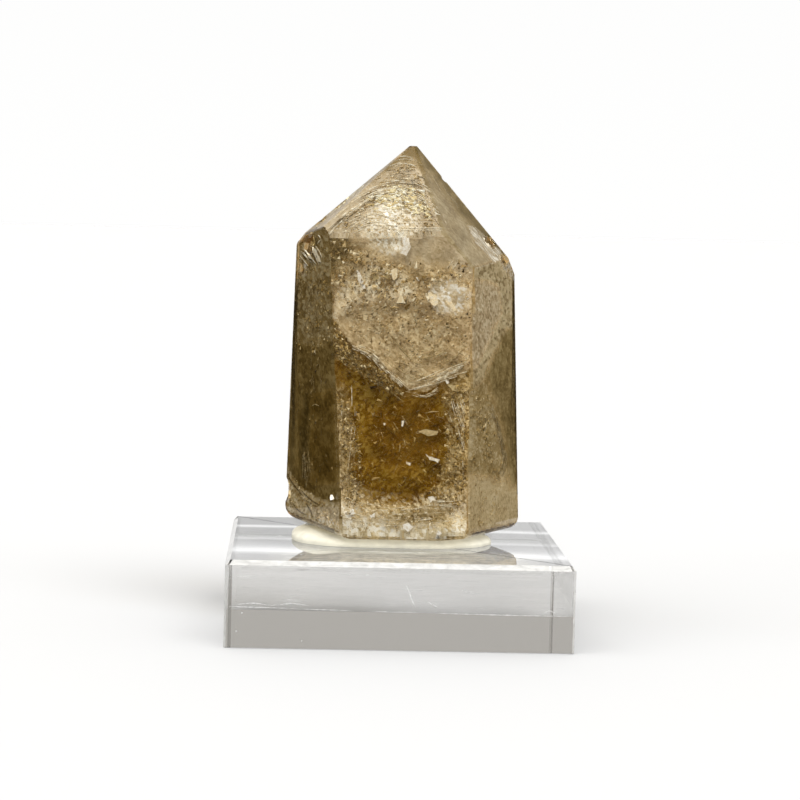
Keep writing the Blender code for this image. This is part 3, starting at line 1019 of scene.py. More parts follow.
creamShards = shardMaterial("creamShards", [(0.0, (0.20, 0.12, 0.03)), (0.35, (0.46, 0.31, 0.12)),
                                            (0.70, (0.80, 0.63, 0.34)), (0.94, (1.0, 0.93, 0.72))],
                            (0.35, 1.0))
tanShards = shardMaterial("tanShards", [(0.0, (0.12, 0.070, 0.015)), (0.40, (0.34, 0.215, 0.058)),
                                        (0.78, (0.66, 0.475, 0.180)), (0.96, (1.0, 0.86, 0.55))], (0.3, 1.0))
goldShards = shardMaterial("goldShards", [(0.0, (0.62, 0.45, 0.17)), (0.5, (0.98, 0.86, 0.52)),
                                          (0.9, (1.0, 0.98, 0.84))], (0.6, 1.0))
darkShards = shardMaterial("darkShards", [(0.0, (0.035, 0.018, 0.003)), (0.5, (0.12, 0.075, 0.020)),
                                          (0.9, (0.34, 0.24, 0.10))], (0.25, 0.85))
amberShards = shardMaterial("amberShards", [(0.0, (0.040, 0.016, 0.0008)), (0.45, (0.16, 0.08, 0.005)),
                                            (0.75, (0.42, 0.26, 0.06)), (0.97, (0.75, 0.55, 0.24))],
                            (0.15, 0.8))


def flowTurn(px, py, flow):
    kind = flow[0]
    if kind == "angle":
        return radians(flow[1])
    out = Vector((px - flow[1][0], flow[1][1] - py))
    turn = Vector((1, 0)).angle_signed(out, 0) * -1
    return turn + (pi / 2 if kind == "around" else 0)


leastGap = 0.1 * mm    # between a shard and the surface of the stone


def shardSeeds(spec, chance):
    left, right, top, bottom = boxOf(spec["outline"])
    spots = []
    tries = 0
    while len(spots) < spec["count"] and tries < spec["count"] * 30:
        tries += 1
        px, py = chance.uniform(left, right), chance.uniform(top, bottom)
        if not inOutline(px, py, spec["outline"]) or not seenThrough(px, py, spec["face"]):
            continue
        reach = toOutline(px, py, spec["outline"]) / spec["soft"]
        clump = 0.5 + noise.noise(Vector((px, py, spec["seed"])) / spec.get("clump", 10)) * 1.2
        if chance.random() > min(1, reach) * clump:
            continue
        low, high = spec["depth"]
        depth = chance.uniform(low, high) * mm
        point = seenAt(px, py, depth, spec["face"])
        small, large = spec["size"]
        size = (small + (large - small) * chance.random() ** 2.5) * mm
        room = toOtherWalls(point, spec["face"])
        if room < spec.get("clear", 1.9) * mm or not insideStone(point, 0.5 * size + leastGap):
            continue
        turn = flowTurn(px, py, spec["flow"])
        ahead = seenAt(px + cos(turn), py - sin(turn), depth, spec["face"]) - point
        spots.append((point, ahead.normalized(), size))
    return spots


def grown(name, points, edges, columns, tree, values):    # a mesh that one of the node trees makes
    mesh = bpy.data.meshes.new(name + "_source")
    mesh.from_pydata(points, edges, [])
    for label, (kind, _, _) in columns.items():
        mesh.attributes.new(label, kind, "POINT")
    for label, (_, key, numbers) in columns.items():
        for item, number in zip(mesh.attributes[label].data, numbers):
            setattr(item, key, number)
    source = bpy.data.objects.new(name + "_source", mesh)
    bpy.context.scene.collection.objects.link(source)
    grow = source.modifiers.new("grow", "NODES")
    grow.node_group = tree
    for item in tree.interface.items_tree:
        if item.in_out == "INPUT" and item.name in values:
            grow[item.identifier] = values[item.name]
    bpy.context.view_layer.update()
    made = source.evaluated_get(bpy.context.evaluated_depsgraph_get())
    result = bpy.data.meshes.new_from_object(made)
    result.name = name
    bpy.data.objects.remove(source)
    return result


def shardSwarm(name, spec):
    spots = shardSeeds(spec, random.Random(spec["seed"]))
    toViewer = -sightLine(frameMiddle, frameMiddle)
    columns = {"facing": ("FLOAT_VECTOR", "vector", [toViewer for _ in spots]),
               "along": ("FLOAT_VECTOR", "vector", [ahead for _, ahead, _ in spots]),
               "size": ("FLOAT", "value", [size for _, _, size in spots])}
    values = {"Sides": 3, "Thickness": 0.2, "Stretch": spec.get("stretch", 2.5),
              "Tilt": radians(spec["tilt"]),
              "Swing": radians(spec.get("swing", 180)), "Seed": spec["seed"], "Material": spec["material"]}
    shards = grown(name, [point for point, _, _ in spots], [], columns, scatterShards, values)
    print(name, len(spots), "shards")
    return addPiece(name, shards, spec["material"])


crustZone = [(320, 300), (334, 316), (346, 340), (362, 356), (382, 370), (406, 392), (398, 398), (369, 381),
             (344, 366), (326, 344)]
bandZone = [(326, 234), (352, 240), (400, 262), (470, 262), (480, 300), (400, 310), (330, 310)]
bowlZone = [(336, 296), (342, 330), (372, 354), (406, 387), (426, 392), (445, 382), (480, 364), (490, 340),
            (500, 318), (494, 286), (430, 296)]
lowerRightZone = [(440, 392), (470, 372), (494, 386), (506, 440), (505, 500), (450, 512), (428, 492),
                  (446, 450)]
stripeZone = [(334, 384), (348, 404), (360, 430), (366, 505), (340, 512), (320, 508), (328, 470), (334, 430)]
coreZone = [(340, 366), (374, 376), (400, 394), (452, 386), (462, 420), (460, 500), (400, 516), (350, 512)]
tipZone = [(314, 236), (340, 202), (380, 168), (408, 152), (430, 168), (452, 205), (474, 240), (440, 252),
           (380, 250)]
swarms = {
    "shards_crust": {
        "face": "front", "depth": (1.5, 5), "count": 900, "size": (0.2, 0.8), "soft": 4, "tilt": 50,
        "seed": 3,
        "flow": ("angle", -45), "swing": 55, "material": tanShards, "clump": 4, "outline": crustZone,
    },
    "shards_crust_dark": {
        "face": "front", "depth": (1.5, 4), "count": 560, "size": (0.2, 0.7), "soft": 4, "tilt": 35,
        "seed": 4,
        "flow": ("angle", -45), "swing": 50, "material": darkShards, "clump": 4, "outline": crustZone,
    },
    "shards_band": {
        "face": "front", "depth": (1.5, 8), "count": 1300, "size": (0.2, 1.0), "soft": 8, "tilt": 40,
        "seed": 5,
        "flow": ("angle", 35), "swing": 60, "material": creamShards, "clump": 6, "outline": bandZone,
    },
    "shards_band_dark": {
        "face": "front", "depth": (1.5, 4), "count": 480, "size": (0.2, 0.8), "soft": 8, "tilt": 40,
        "seed": 15,
        "flow": ("angle", 35), "swing": 60, "material": darkShards, "clump": 6, "outline": bandZone,
    },
    "shards_bowl": {
        "face": "front", "depth": (2.2, 3.2), "count": 700, "size": (0.15, 0.6), "soft": 8, "tilt": 25,
        "seed": 16,
        "flow": ("angle", 30), "swing": 40, "material": creamShards, "clump": 12, "outline": bowlZone,
    },
    "shards_bowl_dark": {
        "face": "front", "depth": (2.2, 3.2), "count": 900, "size": (0.15, 0.6), "soft": 8, "tilt": 25,
        "seed": 26,
        "flow": ("angle", 30), "swing": 40, "material": darkShards, "clump": 12, "outline": bowlZone,
    },
    "shards_base": {
        "face": "front", "depth": (1.2, 6), "count": 1300, "size": (0.15, 0.6), "soft": 6, "tilt": 45,
        "seed": 6,
        "flow": ("angle", 20), "material": creamShards, "clump": 6,
        "outline": [(312, 478), (350, 488), (390, 506), (430, 500), (470, 484), (484, 540), (345, 542)],
    },
    "shards_lower_right": {
        "face": "front", "depth": (1.5, 6), "count": 1500, "size": (0.2, 0.8), "soft": 8, "tilt": 45,
        "seed": 7,
        "flow": ("angle", 50), "material": tanShards, "clump": 5, "outline": lowerRightZone,
    },
    "shards_lower_right_dark": {
        "face": "front", "depth": (1.3, 4), "count": 380, "size": (0.2, 0.7), "soft": 8, "tilt": 45,
        "seed": 27,
        "flow": ("angle", 50), "material": darkShards, "clump": 5, "outline": lowerRightZone,
    },
    "shards_stripe": {
        "face": "front", "depth": (1.2, 5), "count": 900, "size": (0.2, 0.75), "soft": 5, "tilt": 35,
        "seed": 8,
        "flow": ("angle", 78), "swing": 70, "stretch": 2, "material": tanShards, "clump": 6,
        "outline": stripeZone,
    },
    "shards_stripe_dark": {
        "face": "front", "depth": (1.2, 4), "count": 420, "size": (0.2, 0.7), "soft": 5, "tilt": 35,
        "seed": 28,
        "flow": ("angle", 78), "swing": 70, "stretch": 2, "material": darkShards, "clump": 6,
        "outline": stripeZone,
    },
    "shards_core": {
        "face": "front", "depth": (4, 9), "count": 900, "size": (0.25, 1.0), "soft": 8, "tilt": 25,
        "seed": 18,
        "flow": ("angle", -25), "swing": 60, "stretch": 3.5, "material": amberShards, "clump": 9,
        "outline": coreZone,
    },
    "shards_core_bright": {
        "face": "front", "depth": (3, 7), "count": 130, "size": (0.25, 0.8), "soft": 8, "tilt": 45,
        "seed": 29,
        "flow": ("angle", -25), "swing": 80, "material": tanShards, "clump": 5, "outline": coreZone,
    },
    "shards_tip": {
        "face": "tip", "depth": (1.0, 2.2), "count": 1500, "size": (0.12, 0.6), "soft": 6, "tilt": 25,
        "seed": 9,
        "flow": ("around", (398, 290)), "swing": 25, "stretch": 4, "material": creamShards, "clump": 9,
        "outline": tipZone,
    },
    "shards_tip_dark": {
        "face": "tip", "depth": (1.0, 2.2), "count": 500, "size": (0.15, 0.5), "soft": 6, "tilt": 25,
        "seed": 30,
        "flow": ("around", (398, 290)), "swing": 25, "stretch": 4, "material": darkShards, "clump": 9,
        "outline": tipZone,
    },
    "shards_tip_gold": {
        "face": "tip", "depth": (0.8, 1.6), "count": 420, "size": (0.3, 1.4), "soft": 6, "tilt": 25,
        "seed": 10,
        "flow": ("around", (398, 290)), "swing": 40, "stretch": 2.5, "material": goldShards, "clump": 5,
        "outline": [(366, 198), (386, 184), (412, 184), (434, 194), (448, 218), (430, 220), (400, 210),
                    (374, 212)],
    },
    "shards_right": {
        "face": "right", "depth": (0.25, 0.7), "count": 620, "size": (0.2, 0.75), "soft": 8, "tilt": 35,
        "seed": 34,
        "flow": ("angle", 55), "swing": 60, "clear": 0.15, "material": tanShards, "clump": 6,
        "outline": [(466, 376), (490, 392), (500, 436), (504, 480), (500, 545), (466, 548)],
    },
    "shards_tip_left": {
        "face": "tipLeft", "depth": (0.25, 0.6), "count": 240, "size": (0.2, 0.9), "soft": 3, "tilt": 35,
        "seed": 35,
        "flow": ("angle", -58), "swing": 20, "stretch": 4, "clear": 0.1, "material": goldShards, "clump": 6,
        "outline": [(312, 226), (350, 194), (384, 166), (384, 176), (352, 206), (322, 240)],
    },
    "shards_left_cloud": {
        "face": "left", "depth": (0.3, 0.7), "count": 420, "size": (0.15, 0.6), "soft": 8, "tilt": 30,
        "seed": 32,
        "flow": ("angle", 55), "swing": 35, "stretch": 3, "clear": 0.2, "material": tanShards, "clump": 7,
        "outline": [(297, 240), (330, 240), (334, 350), (316, 360), (292, 345)],
    },
    "shards_left_foot": {
        "face": "left", "depth": (0.2, 0.6), "count": 420, "size": (0.15, 0.7), "soft": 5, "tilt": 35,
        "seed": 33,
        "flow": ("angle", -50), "swing": 50, "stretch": 3, "clear": 0.2, "material": tanShards, "clump": 6,
        "outline": [(286, 468), (300, 484), (318, 497), (338, 506), (344, 545), (286, 520)],
    },
    "shards_left": {
        "face": "left", "depth": (0.5, 1.2), "count": 200, "size": (0.2, 0.8), "soft": 10, "tilt": 30,
        "seed": 31,
        "flow": ("angle", 65), "swing": 30, "stretch": 4, "material": darkShards, "clump": 8,
        "outline": [(290, 240), (326, 244), (336, 480), (320, 500), (296, 480), (286, 330)],
    },
}
for name, spec in swarms.items():
    shardSwarm(name, spec)
print("shards ready")

# threads: rims, growth lines, cracks and long glints, drawn along paths by one node tree


def threadTree():
    tree = bpy.data.node_groups.new("drawThreads", "GeometryNodeTree")
    sockets = [("Geometry", "NodeSocketGeometry"), ("Sides", "NodeSocketInt"),
               ("Material", "NodeSocketMaterial")]
    for label, kind in sockets:
        tree.interface.new_socket(label, in_out="INPUT", socket_type=kind)
    tree.interface.new_socket("Geometry", in_out="OUTPUT", socket_type="NodeSocketGeometry")
    source = node(tree, "NodeGroupInput")
    result = node(tree, "NodeGroupOutput")
    toCurve = node(tree, "GeometryNodeMeshToCurve")
    ring = node(tree, "GeometryNodeCurvePrimitiveCircle", Radius=0.5)
    width = node(tree, "GeometryNodeInputNamedAttribute", data_type="FLOAT", Name="width")
    sweep = node(tree, "GeometryNodeCurveToMesh")
    sweep.inputs["Fill Caps"].default_value = True
    real = node(tree, "GeometryNodeRealizeInstances")
    finish = node(tree, "GeometryNodeSetMaterial")
    join(tree, source.outputs["Geometry"], toCurve.inputs["Mesh"])
    join(tree, source.outputs["Sides"], ring.inputs["Resolution"])
    join(tree, toCurve.outputs[0], sweep.inputs["Curve"])
    join(tree, ring.outputs["Curve"], sweep.inputs["Profile Curve"])
    join(tree, width.outputs["Attribute"], sweep.inputs["Scale"])
    join(tree, sweep.outputs[0], real.inputs[0])
    join(tree, real.outputs[0], finish.inputs[0])
    join(tree, source.outputs["Material"], finish.inputs["Material"])
    join(tree, finish.outputs[0], result.inputs[0])
    return tree


drawThreads = threadTree()


threadGrain = 1.1 * mm


def threadMaterial(name, low, high, solid):
    material, tree = newMaterial(name)
    coords = node(tree, "ShaderNodeTexCoord")
    grain = node(tree, "ShaderNodeTexNoise", Scale=1 / threadGrain, Detail=3.0, Roughness=0.7)
    ramp = node(tree, "ShaderNodeValToRGB")
    fillRamp(ramp, [(0.38, low), (0.62, high)])
    cover = coverNode(tree, 0.35, 0.6, solid)
    shader = mattShader(tree, 0.4, 0.1)
    join(tree, coords.outputs["Object"], grain.inputs["Vector"])
    join(tree, grain.outputs[0], ramp.inputs[0])
    join(tree, grain.outputs[0], cover.inputs["Value"])
    join(tree, ramp.outputs[0], shader.inputs["Base Color"])
    join(tree, cover.outputs[0], shader.inputs["Alpha"])
    return material


brightThreads = threadMaterial("brightThreads", (0.60, 0.47, 0.26), (1.0, 0.93, 0.74), (0.1, 0.9))
tanThreads = threadMaterial("tanThreads", (0.34, 0.25, 0.11), (0.66, 0.52, 0.28), (0.1, 0.9))
brownThreads = threadMaterial("brownThreads", (0.035, 0.020, 0.004), (0.12, 0.08, 0.025), (0.2, 0.95))


def smoothPath(corners, steps):
    points = []
    padded = [corners[0]] + list(corners) + [corners[-1]]
    for first, start, end, last in zip(padded, padded[1:], padded[2:], padded[3:]):
        for step in range(steps):
            t = step / steps
            points.append(tuple(0.5 * (2 * b + (c - a) * t + (2 * a - 5 * b + 4 * c - d) * t * t
                                       + (3 * b - a - 3 * c + d) * t ** 3)
                                for a, b, c, d in zip(first, start, end, last)))
    return points + [corners[-1]]


def strokesOf(family, chance):    # short strokes that keep to one course, beside one another
    course = smoothPath(family["course"], 12)
    strokes = []
    for _ in range(family["count"]):
        length = chance.randint(*family["reach"])
        start = chance.randrange(max(1, len(course) - length))
        piece = course[start:start + length]
        aside, tilt = chance.uniform(*family["aside"]), chance.uniform(-0.12, 0.12)
        stroke = []
        for number, (px, py) in enumerate(piece):
            nextX, nextY = course[min(start + number + 1, len(course) - 1)]
            lastX, lastY = course[max(start + number - 1, 0)]
            run = Vector((nextX - lastX, nextY - lastY)).normalized()
            off = aside + tilt * number * 2
            stroke.append((px + run.y * off, py - run.x * off))
        strokes.append(stroke)
    return strokes


def threadPiece(name, spec):
    chance = random.Random(spec["seed"])
    lines = [(smoothPath(line, 5), spec["width"]) for line in spec.get("lines", [])]
    for family in spec.get("families", []):
        for stroke in strokesOf(family, chance):
            lines.append((stroke, spec["width"] * chance.uniform(0.45, 1.0)))
    points, edges, widths = [], [], []
    for line, width in lines:
        depth = spec["depth"] + chance.uniform(-0.2, 0.2)
        last = None
        for number, (px, py) in enumerate(line):
            point = seenAt(px, py, depth * mm, spec["face"])
            clear = toOtherWalls(point, spec["face"]) > spec.get("clear", 0.15) * mm
            room = (0.06 + 0.55 * width) * mm
            if not clear or not insideStone(point, room) or not seenThrough(px, py, spec["face"]):
                last = None
                continue
            taper = sin(pi * (number + 0.6) / (len(line) + 0.2)) ** 0.5
            points.append(point)
            widths.append(width * mm * taper * chance.uniform(0.7, 1.1))
            if last is not None:
                edges.append((last, len(points) - 1))
            last = len(points) - 1
    columns = {"width": ("FLOAT", "value", widths)}
    threads = grown(name, points, edges, columns, drawThreads, {"Sides": 4, "Material": spec["material"]})
    print(name, len(lines), "threads")
    return addPiece(name, threads, spec["material"])


shoulderGlints = [[(318, 235), (320.5, 239), (317, 244)], [(301, 251), (306, 257), (312, 263)],
                  [(303, 248), (309, 255), (316, 264)], [(311, 246), (316, 254), (320, 262)],
                  [(314, 244), (319, 251), (322, 258)], [(312, 250), (316, 258), (319, 265)],
                  [(300, 256), (305, 262), (308, 266)]]
shoulderCracks = [[(313, 247), (318, 256), (321, 263)], [(304, 251), (309, 258), (313, 264)],
                  [(316, 236), (317, 241), (314, 246)], [(308, 232), (314, 236), (315, 243)],
                  [(310, 250), (314, 257)]]
threadSets = {
    "threads_bowl_rim": {
        "face": "front", "depth": 2.0, "width": 0.26, "material": brightThreads, "clear": 1.9, "seed": 41,
        "families": [
            {"course": [(352, 346), (370, 353), (388, 370), (407, 389)], "count": 46, "reach": (4, 12),
             "aside": (-4, 2)},
            {"course": [(407, 391), (428, 386), (452, 377), (480, 365), (489, 345), (501, 333)], "count": 44,
             "reach": (6, 20), "aside": (-1, 9)},
            {"course": [(404, 392), (426, 396), (444, 386)], "count": 14, "reach": (3, 9), "aside": (-1, 2)},
        ],
    },
    "threads_bowl": {
        "face": "front", "depth": 2.4, "width": 0.22, "material": tanThreads, "clear": 1.9, "seed": 42,
        "families": [
            {"course": [(380, 345), (410, 372), (440, 372), (470, 352), (484, 325)], "count": 70,
             "reach": (4, 16),
             "aside": (-8, 26)},
            {"course": [(474, 372), (490, 345), (504, 322)], "count": 26, "reach": (6, 16), "aside": (-7, 3)},
        ],
    },
    "threads_tip": {
        "face": "tip", "depth": 0.9, "width": 0.30, "material": brightThreads, "seed": 43,
        "lines": [[(400, 228.2), (430, 228.0), (457, 228.6)], [(400, 230.2), (428, 230.0), (452, 230.4)]],
        "families": [
            {"course": [(322, 234), (346, 210), (372, 192), (402, 186), (428, 196), (444, 216)], "count": 45,
             "reach": (5, 16), "aside": (-6, 8)},
            {"course": [(345, 198), (378, 172), (405, 162), (430, 176), (452, 212)], "count": 26,
             "reach": (4, 12),
             "aside": (-4, 8)},
            {"course": [(376, 194), (394, 190), (412, 197), (428, 205), (441, 216)], "count": 60,
             "reach": (3, 9),
             "aside": (-5, 4)},
            {"course": [(350, 226), (372, 218), (396, 222), (410, 232)], "count": 40, "reach": (3, 9),
             "aside": (-8, 6)},
        ],
    },
    "threads_tip_brown": {
        "face": "tip", "depth": 0.8, "width": 0.26, "material": brownThreads, "seed": 44,
        "families": [
            {"course": [(322, 234), (346, 210), (372, 192), (402, 184), (428, 194), (448, 222)], "count": 34,
             "reach": (3, 9), "aside": (-10, 16)},
        ],
    },
    "threads_tip_right": {
        "face": "tipRight", "depth": 0.9, "width": 0.26, "material": brightThreads, "seed": 45,
        "families": [
            {"course": [(432, 172), (448, 196), (466, 222), (488, 252), (500, 268)], "count": 16,
             "reach": (4, 12),
             "aside": (-2, 8)},
        ],
    },
    "threads_core": {
        "face": "front", "depth": 2.2, "width": 0.28, "material": tanThreads, "clear": 1.9, "seed": 46,
        "families": [
            {"course": [(412, 426), (430, 420), (446, 424), (452, 438)], "count": 9, "reach": (4, 8),
             "aside": (-10, 8)},
            {"course": [(380, 400), (400, 420), (410, 450), (396, 480)], "count": 12, "reach": (3, 6),
             "aside": (-26, 26)},
        ],
    },
    "threads_left": {
        "face": "left", "depth": 0.6, "width": 0.24, "material": tanThreads, "seed": 47,
        "lines": [[(325.5, 459), (328.5, 463)], [(312, 406), (315, 404.4), (319, 406)],
                  [(299, 496), (308, 501), (319, 507)]],
        "families": [
            {"course": [(304, 448), (305, 470), (303, 488)], "count": 16, "reach": (4, 14), "aside": (-4, 4)},
            {"course": [(316, 340), (313, 365), (312, 392)], "count": 8, "reach": (3, 9), "aside": (-6, 9)},
            {"course": [(322, 268), (310, 300), (300, 335)], "count": 26, "reach": (3, 9),
             "aside": (-12, 14)},
        ],
    },
    "threads_left_cracks": {
        "face": "left", "depth": 0.45, "width": 0.30, "material": brownThreads, "seed": 48,
        "lines": [[(287, 474), (292, 482), (298, 490), (303, 496)], [(294, 490), (296.5, 498), (299.5, 506)],
                  [(299, 508), (310, 512), (322, 519)], [(289, 470), (289, 482)],
                  [(301, 490), (310, 499), (320, 505)], [(291, 500), (297, 509), (306, 515)],
                  [(306, 503), (311, 512), (313, 520)]],
    },
    "threads_shoulder": {
        "face": "left", "depth": 0.55, "width": 0.42, "material": brightThreads, "seed": 51,
        "lines": shoulderGlints,
    },
    "threads_shoulder_dark": {
        "face": "left", "depth": 0.45, "width": 0.34, "material": brownThreads, "seed": 52,
        "lines": shoulderCracks,
    },
    "threads_shoulder_top": {
        "face": "shoulder", "depth": 0.55, "width": 0.42, "material": brightThreads, "seed": 57,
        "lines": shoulderGlints,
    },
    "threads_shoulder_top_dark": {
        "face": "shoulder", "depth": 0.45, "width": 0.34, "material": brownThreads, "seed": 58,
        "lines": shoulderCracks,
    },
    "threads_rim": {
        "face": "tipRight", "depth": 0.5, "width": 0.42, "clear": 0.02, "material": brownThreads, "seed": 53,
        "families": [
            {"course": [(436, 144), (455, 181), (478, 216), (500, 246), (512, 262)], "count": 60,
             "reach": (8, 26),
             "aside": (-1.0, 3.5)},
        ],
    },
    "threads_rim_tip": {
        "face": "tipLeft", "depth": 0.5, "width": 0.40, "clear": 0.02, "material": brownThreads, "seed": 56,
        "families": [
            {"course": [(316, 224), (344, 199), (379, 169.5), (414, 143)], "count": 46, "reach": (6, 22),
             "aside": (-0.5, 3)},
        ],
    },
    "threads_rim_left": {
        "face": "left", "depth": 0.5, "width": 0.30, "clear": 0.02, "material": brownThreads, "seed": 54,
        "families": [
            {"course": [(297, 262), (295.5, 300), (292.8, 350), (290.8, 400), (288.8, 462)], "count": 36,
             "reach": (10, 30), "aside": (-1.5, 1.5)},
        ],
    },
    "threads_rim_right": {
        "face": "right", "depth": 0.5, "width": 0.45, "clear": 0.02, "material": brownThreads, "seed": 55,
        "families": [
            {"course": [(513, 275), (514.5, 340), (515.5, 400), (515.8, 490)], "count": 60, "reach": (10, 30),
             "aside": (-1.0, 1.5)},
        ],
    },
    "threads_gold_band": {
        "face": "right", "depth": 0.5, "width": 0.42, "material": tanThreads, "clear": 0.1, "seed": 49,
        "families": [
            {"course": [(489, 400), (497, 420), (502, 443), (505, 462), (502, 477)], "count": 26,
             "reach": (8, 22),
             "aside": (-2, 2)},
        ],
    },
    "threads_right": {
        "face": "front", "depth": 1.5, "width": 0.22, "material": brightThreads, "clear": 1.9, "seed": 50,
        "lines": [[(447, 268), (452, 262), (458, 254)], [(452, 270), (458, 262), (465, 253)],
                  [(460, 271), (464, 266), (468, 260)], [(344, 312), (348, 306), (352, 300)],
                  [(343, 309), (349, 303)], [(372, 262), (371, 272)]],
        "families": [
            {"course": [(470, 395), (480, 425), (488, 455), (490, 480)], "count": 60, "reach": (3, 10),
             "aside": (-26, 10)},
            {"course": [(348, 380), (346, 430), (338, 490)], "count": 14, "reach": (2, 6),
             "aside": (-12, 12)},
            {"course": [(330, 505), (380, 515), (430, 512), (480, 510)], "count": 70, "reach": (2, 6),
             "aside": (-16, 12)},
        ],
    },
}
for name, spec in threadSets.items():
    threadPiece(name, spec)
print("threads ready")

# flakes: the single flat inclusions, thin plates at their own places


def flakeMaterial(name, dark, light, grain):
    material, tree = newMaterial(name)
    coords = node(tree, "ShaderNodeTexCoord")
    mottle = node(tree, "ShaderNodeTexNoise", Scale=1 / (grain * mm), Detail=5.0, Roughness=0.7)
    ramp = node(tree, "ShaderNodeValToRGB")
    fillRamp(ramp, [(0.36, dark), (0.60, light)])
    shader = mattShader(tree, 0.5, 0.1)
    join(tree, coords.outputs["Object"], mottle.inputs["Vector"])
    join(tree, mottle.outputs[0], ramp.inputs[0])
    join(tree, ramp.outputs[0], shader.inputs["Base Color"])
    return material


creamFlake = flakeMaterial("creamFlake", (0.80, 0.63, 0.37), (1.0, 0.91, 0.69), 0.9)
whiteFlake = flakeMaterial("whiteFlake", (0.66, 0.55, 0.38), (1.0, 0.96, 0.86), 0.5)
tanFlake = flakeMaterial("tanFlake", (0.36, 0.26, 0.11), (0.66, 0.52, 0.28), 0.7)


def raggedRing(outline, seed, rough):
    chance = random.Random(seed)
    ring = []
    for (ax, ay), (bx, by) in zip(outline, outline[1:] + outline[:1]):
        for part in range(3):
            t = part / 3
            ring.append((ax + (bx - ax) * t + chance.uniform(-rough, rough),
                         ay + (by - ay) * t + chance.uniform(-rough, rough)))
    return ring


def flakePiece(name, spec):
    bm = bmesh.new()
    for number, (depth, lean, outline) in enumerate(spec["flakes"]):
        ring = raggedRing(outline, spec["seed"] + number, spec["rough"])
        middleX = sum(px for px, _ in ring) / len(ring)
        fronts, backs = [], []
        for px, py in ring:
            here = depth + lean * (px - middleX)
            fronts.append(bm.verts.new(seenAt(px, py, here * mm, spec["face"])))
            backs.append(bm.verts.new(seenAt(px, py, (here + spec["thick"]) * mm, spec["face"])))
        bm.faces.new(fronts)
        bm.faces.new(backs[::-1])
        for a, b, c, d in zip(fronts, fronts[1:] + fronts[:1], backs[1:] + backs[:1], backs):
            bm.faces.new([d, c, b, a])
    bmesh.ops.recalc_face_normals(bm, faces=bm.faces)
    bmesh.ops.triangulate(bm, faces=bm.faces)
    return addPiece(name, meshFrom(bm, name), spec["material"])


flakeSets = {
    "flakes_cream": {
        "face": "front", "material": creamFlake, "seed": 60, "rough": 0.6, "thick": 0.15,
        "flakes": [
            (2.4, 0.02, [(391, 270), (396, 268), (398, 274), (397, 281), (393.5, 280)]),
            (2.2, 0.02, [(401, 291), (402.5, 296), (405.5, 303), (396, 303.5), (399, 297)]),
            (2.0, 0.01, [(425, 294), (430, 291.5), (438, 297), (438.5, 304), (434, 306.5), (428, 301)]),
            (2.0, 0.03, [(445.5, 300.5), (451, 299.5), (457, 310.5), (453, 311)]),
        ],
    },
    "flakes_white": {
        "face": "front", "material": whiteFlake, "seed": 70, "rough": 0.7, "thick": 0.12,
        "flakes": [
            (2.0, 0.02, [(356, 270), (359, 272), (364, 282), (366, 289), (363, 288), (358, 279)]),
            (1.6, 0.03, [(402, 236), (409, 238), (411, 246), (407, 256), (400, 253), (403, 246)]),
            (2.4, 0.02, [(416, 277), (418, 277.5), (419.5, 281.5), (417.5, 281)]),
            (2.4, 0.02, [(396, 281), (398, 283), (397.5, 286), (395.5, 284)]),
            (2.2, 0.02, [(425, 454), (431, 457), (440, 460), (438, 462.5), (430, 459)]),
            (2.2, 0.02, [(401.5, 421), (403.5, 420), (404, 425), (402, 427)]),
            (2.2, 0.02, [(383, 423.5), (385.5, 423), (385, 425), (383.5, 425)]),
            (2.2, 0.02, [(406, 461.5), (411, 463), (410.5, 465), (407, 464)]),
            (1.8, 0.02, [(445, 380), (449, 381), (449, 384), (446, 384)]),
            (1.0, 0.02, [(403, 525), (408, 523), (413, 527), (409, 531), (404, 530)]),
            (1.0, 0.02, [(436, 532), (441, 531), (441, 534.5), (437, 535)]),
            (1.4, 0.02, [(428, 497), (434, 496.5), (436, 500), (430, 502)]),
            (1.2, 0.02, [(370, 515), (374, 513), (375, 517), (371, 518)]),
            (1.2, 0.02, [(350, 511), (353, 509), (355, 513), (352, 515)]),
            (1.2, 0.02, [(330, 496), (333, 495), (334, 499), (331, 500)]),
            (2.2, 0.02, [(384, 213), (388, 212), (389, 215.5), (385, 216)]),
        ],
    },
    "flakes_shoulder": {
        "face": "left", "material": creamFlake, "seed": 90, "rough": 0.4, "thick": 0.1,
        "flakes": [
            (0.35, 0.0, [(312, 247), (316, 249), (318, 255), (315, 256), (312, 252)]),
            (0.35, 0.0, [(316, 254), (319, 256), (321, 262), (318, 262)]),
            (0.35, 0.0, [(306, 252), (310, 255), (312, 259), (308, 257)]),
        ],
    },
    "flakes_tan": {
        "face": "front", "material": tanFlake, "seed": 80, "rough": 0.5, "thick": 0.12,
        "flakes": [
            (2.6, 0.02, [(418, 431), (426, 429), (438, 431), (437, 435), (428, 436.5)]),
            (2.0, 0.02, [(447, 384), (456, 386), (459, 392), (452, 390)]),
            (3.0, 0.02, [(386, 268), (390, 272), (389, 280), (384, 277)]),
            (3.0, 0.02, [(372, 270), (377, 268), (379, 278), (374, 282)]),
        ],
    },
}
for name, spec in flakeSets.items():
    flakePiece(name, spec)
print("flakes ready")

# block: a painted highlight on its chamfers, painted reflection streaks, a painted reflection under the top,
# painted highlight lines, scratches and specks, just under its faces
blockTrim = {
    "edgeDepth": 0.05, "streakDepth": 0.35, "streakInset": 2.5, "streakLow": 9.5, "streakHigh": 17.6,
    # the whitish sheets under the chamfers: a painted highlight
    "edgeSheenLook": {"colour": (0.95, 0.94, 0.90), "cover": (0.55, 0.95), "grain": (3, 1, 3), "soften": 0.14},
    # grey and whitish streaks under the upper half of the upright faces: painted reflection streaks
    "paintedStreakDarkLook": {"colour": (0.42, 0.41, 0.38), "cover": (0.0, 0.10), "grain": (14, 1, 1.4), "soften": 0.12},
    "paintedStreakBrightLook": {"colour": (0.95, 0.95, 0.93), "cover": (0.0, 0.40), "grain": (9, 1, 0.8), "soften": 0.06,
                 "from": 0.66},
}


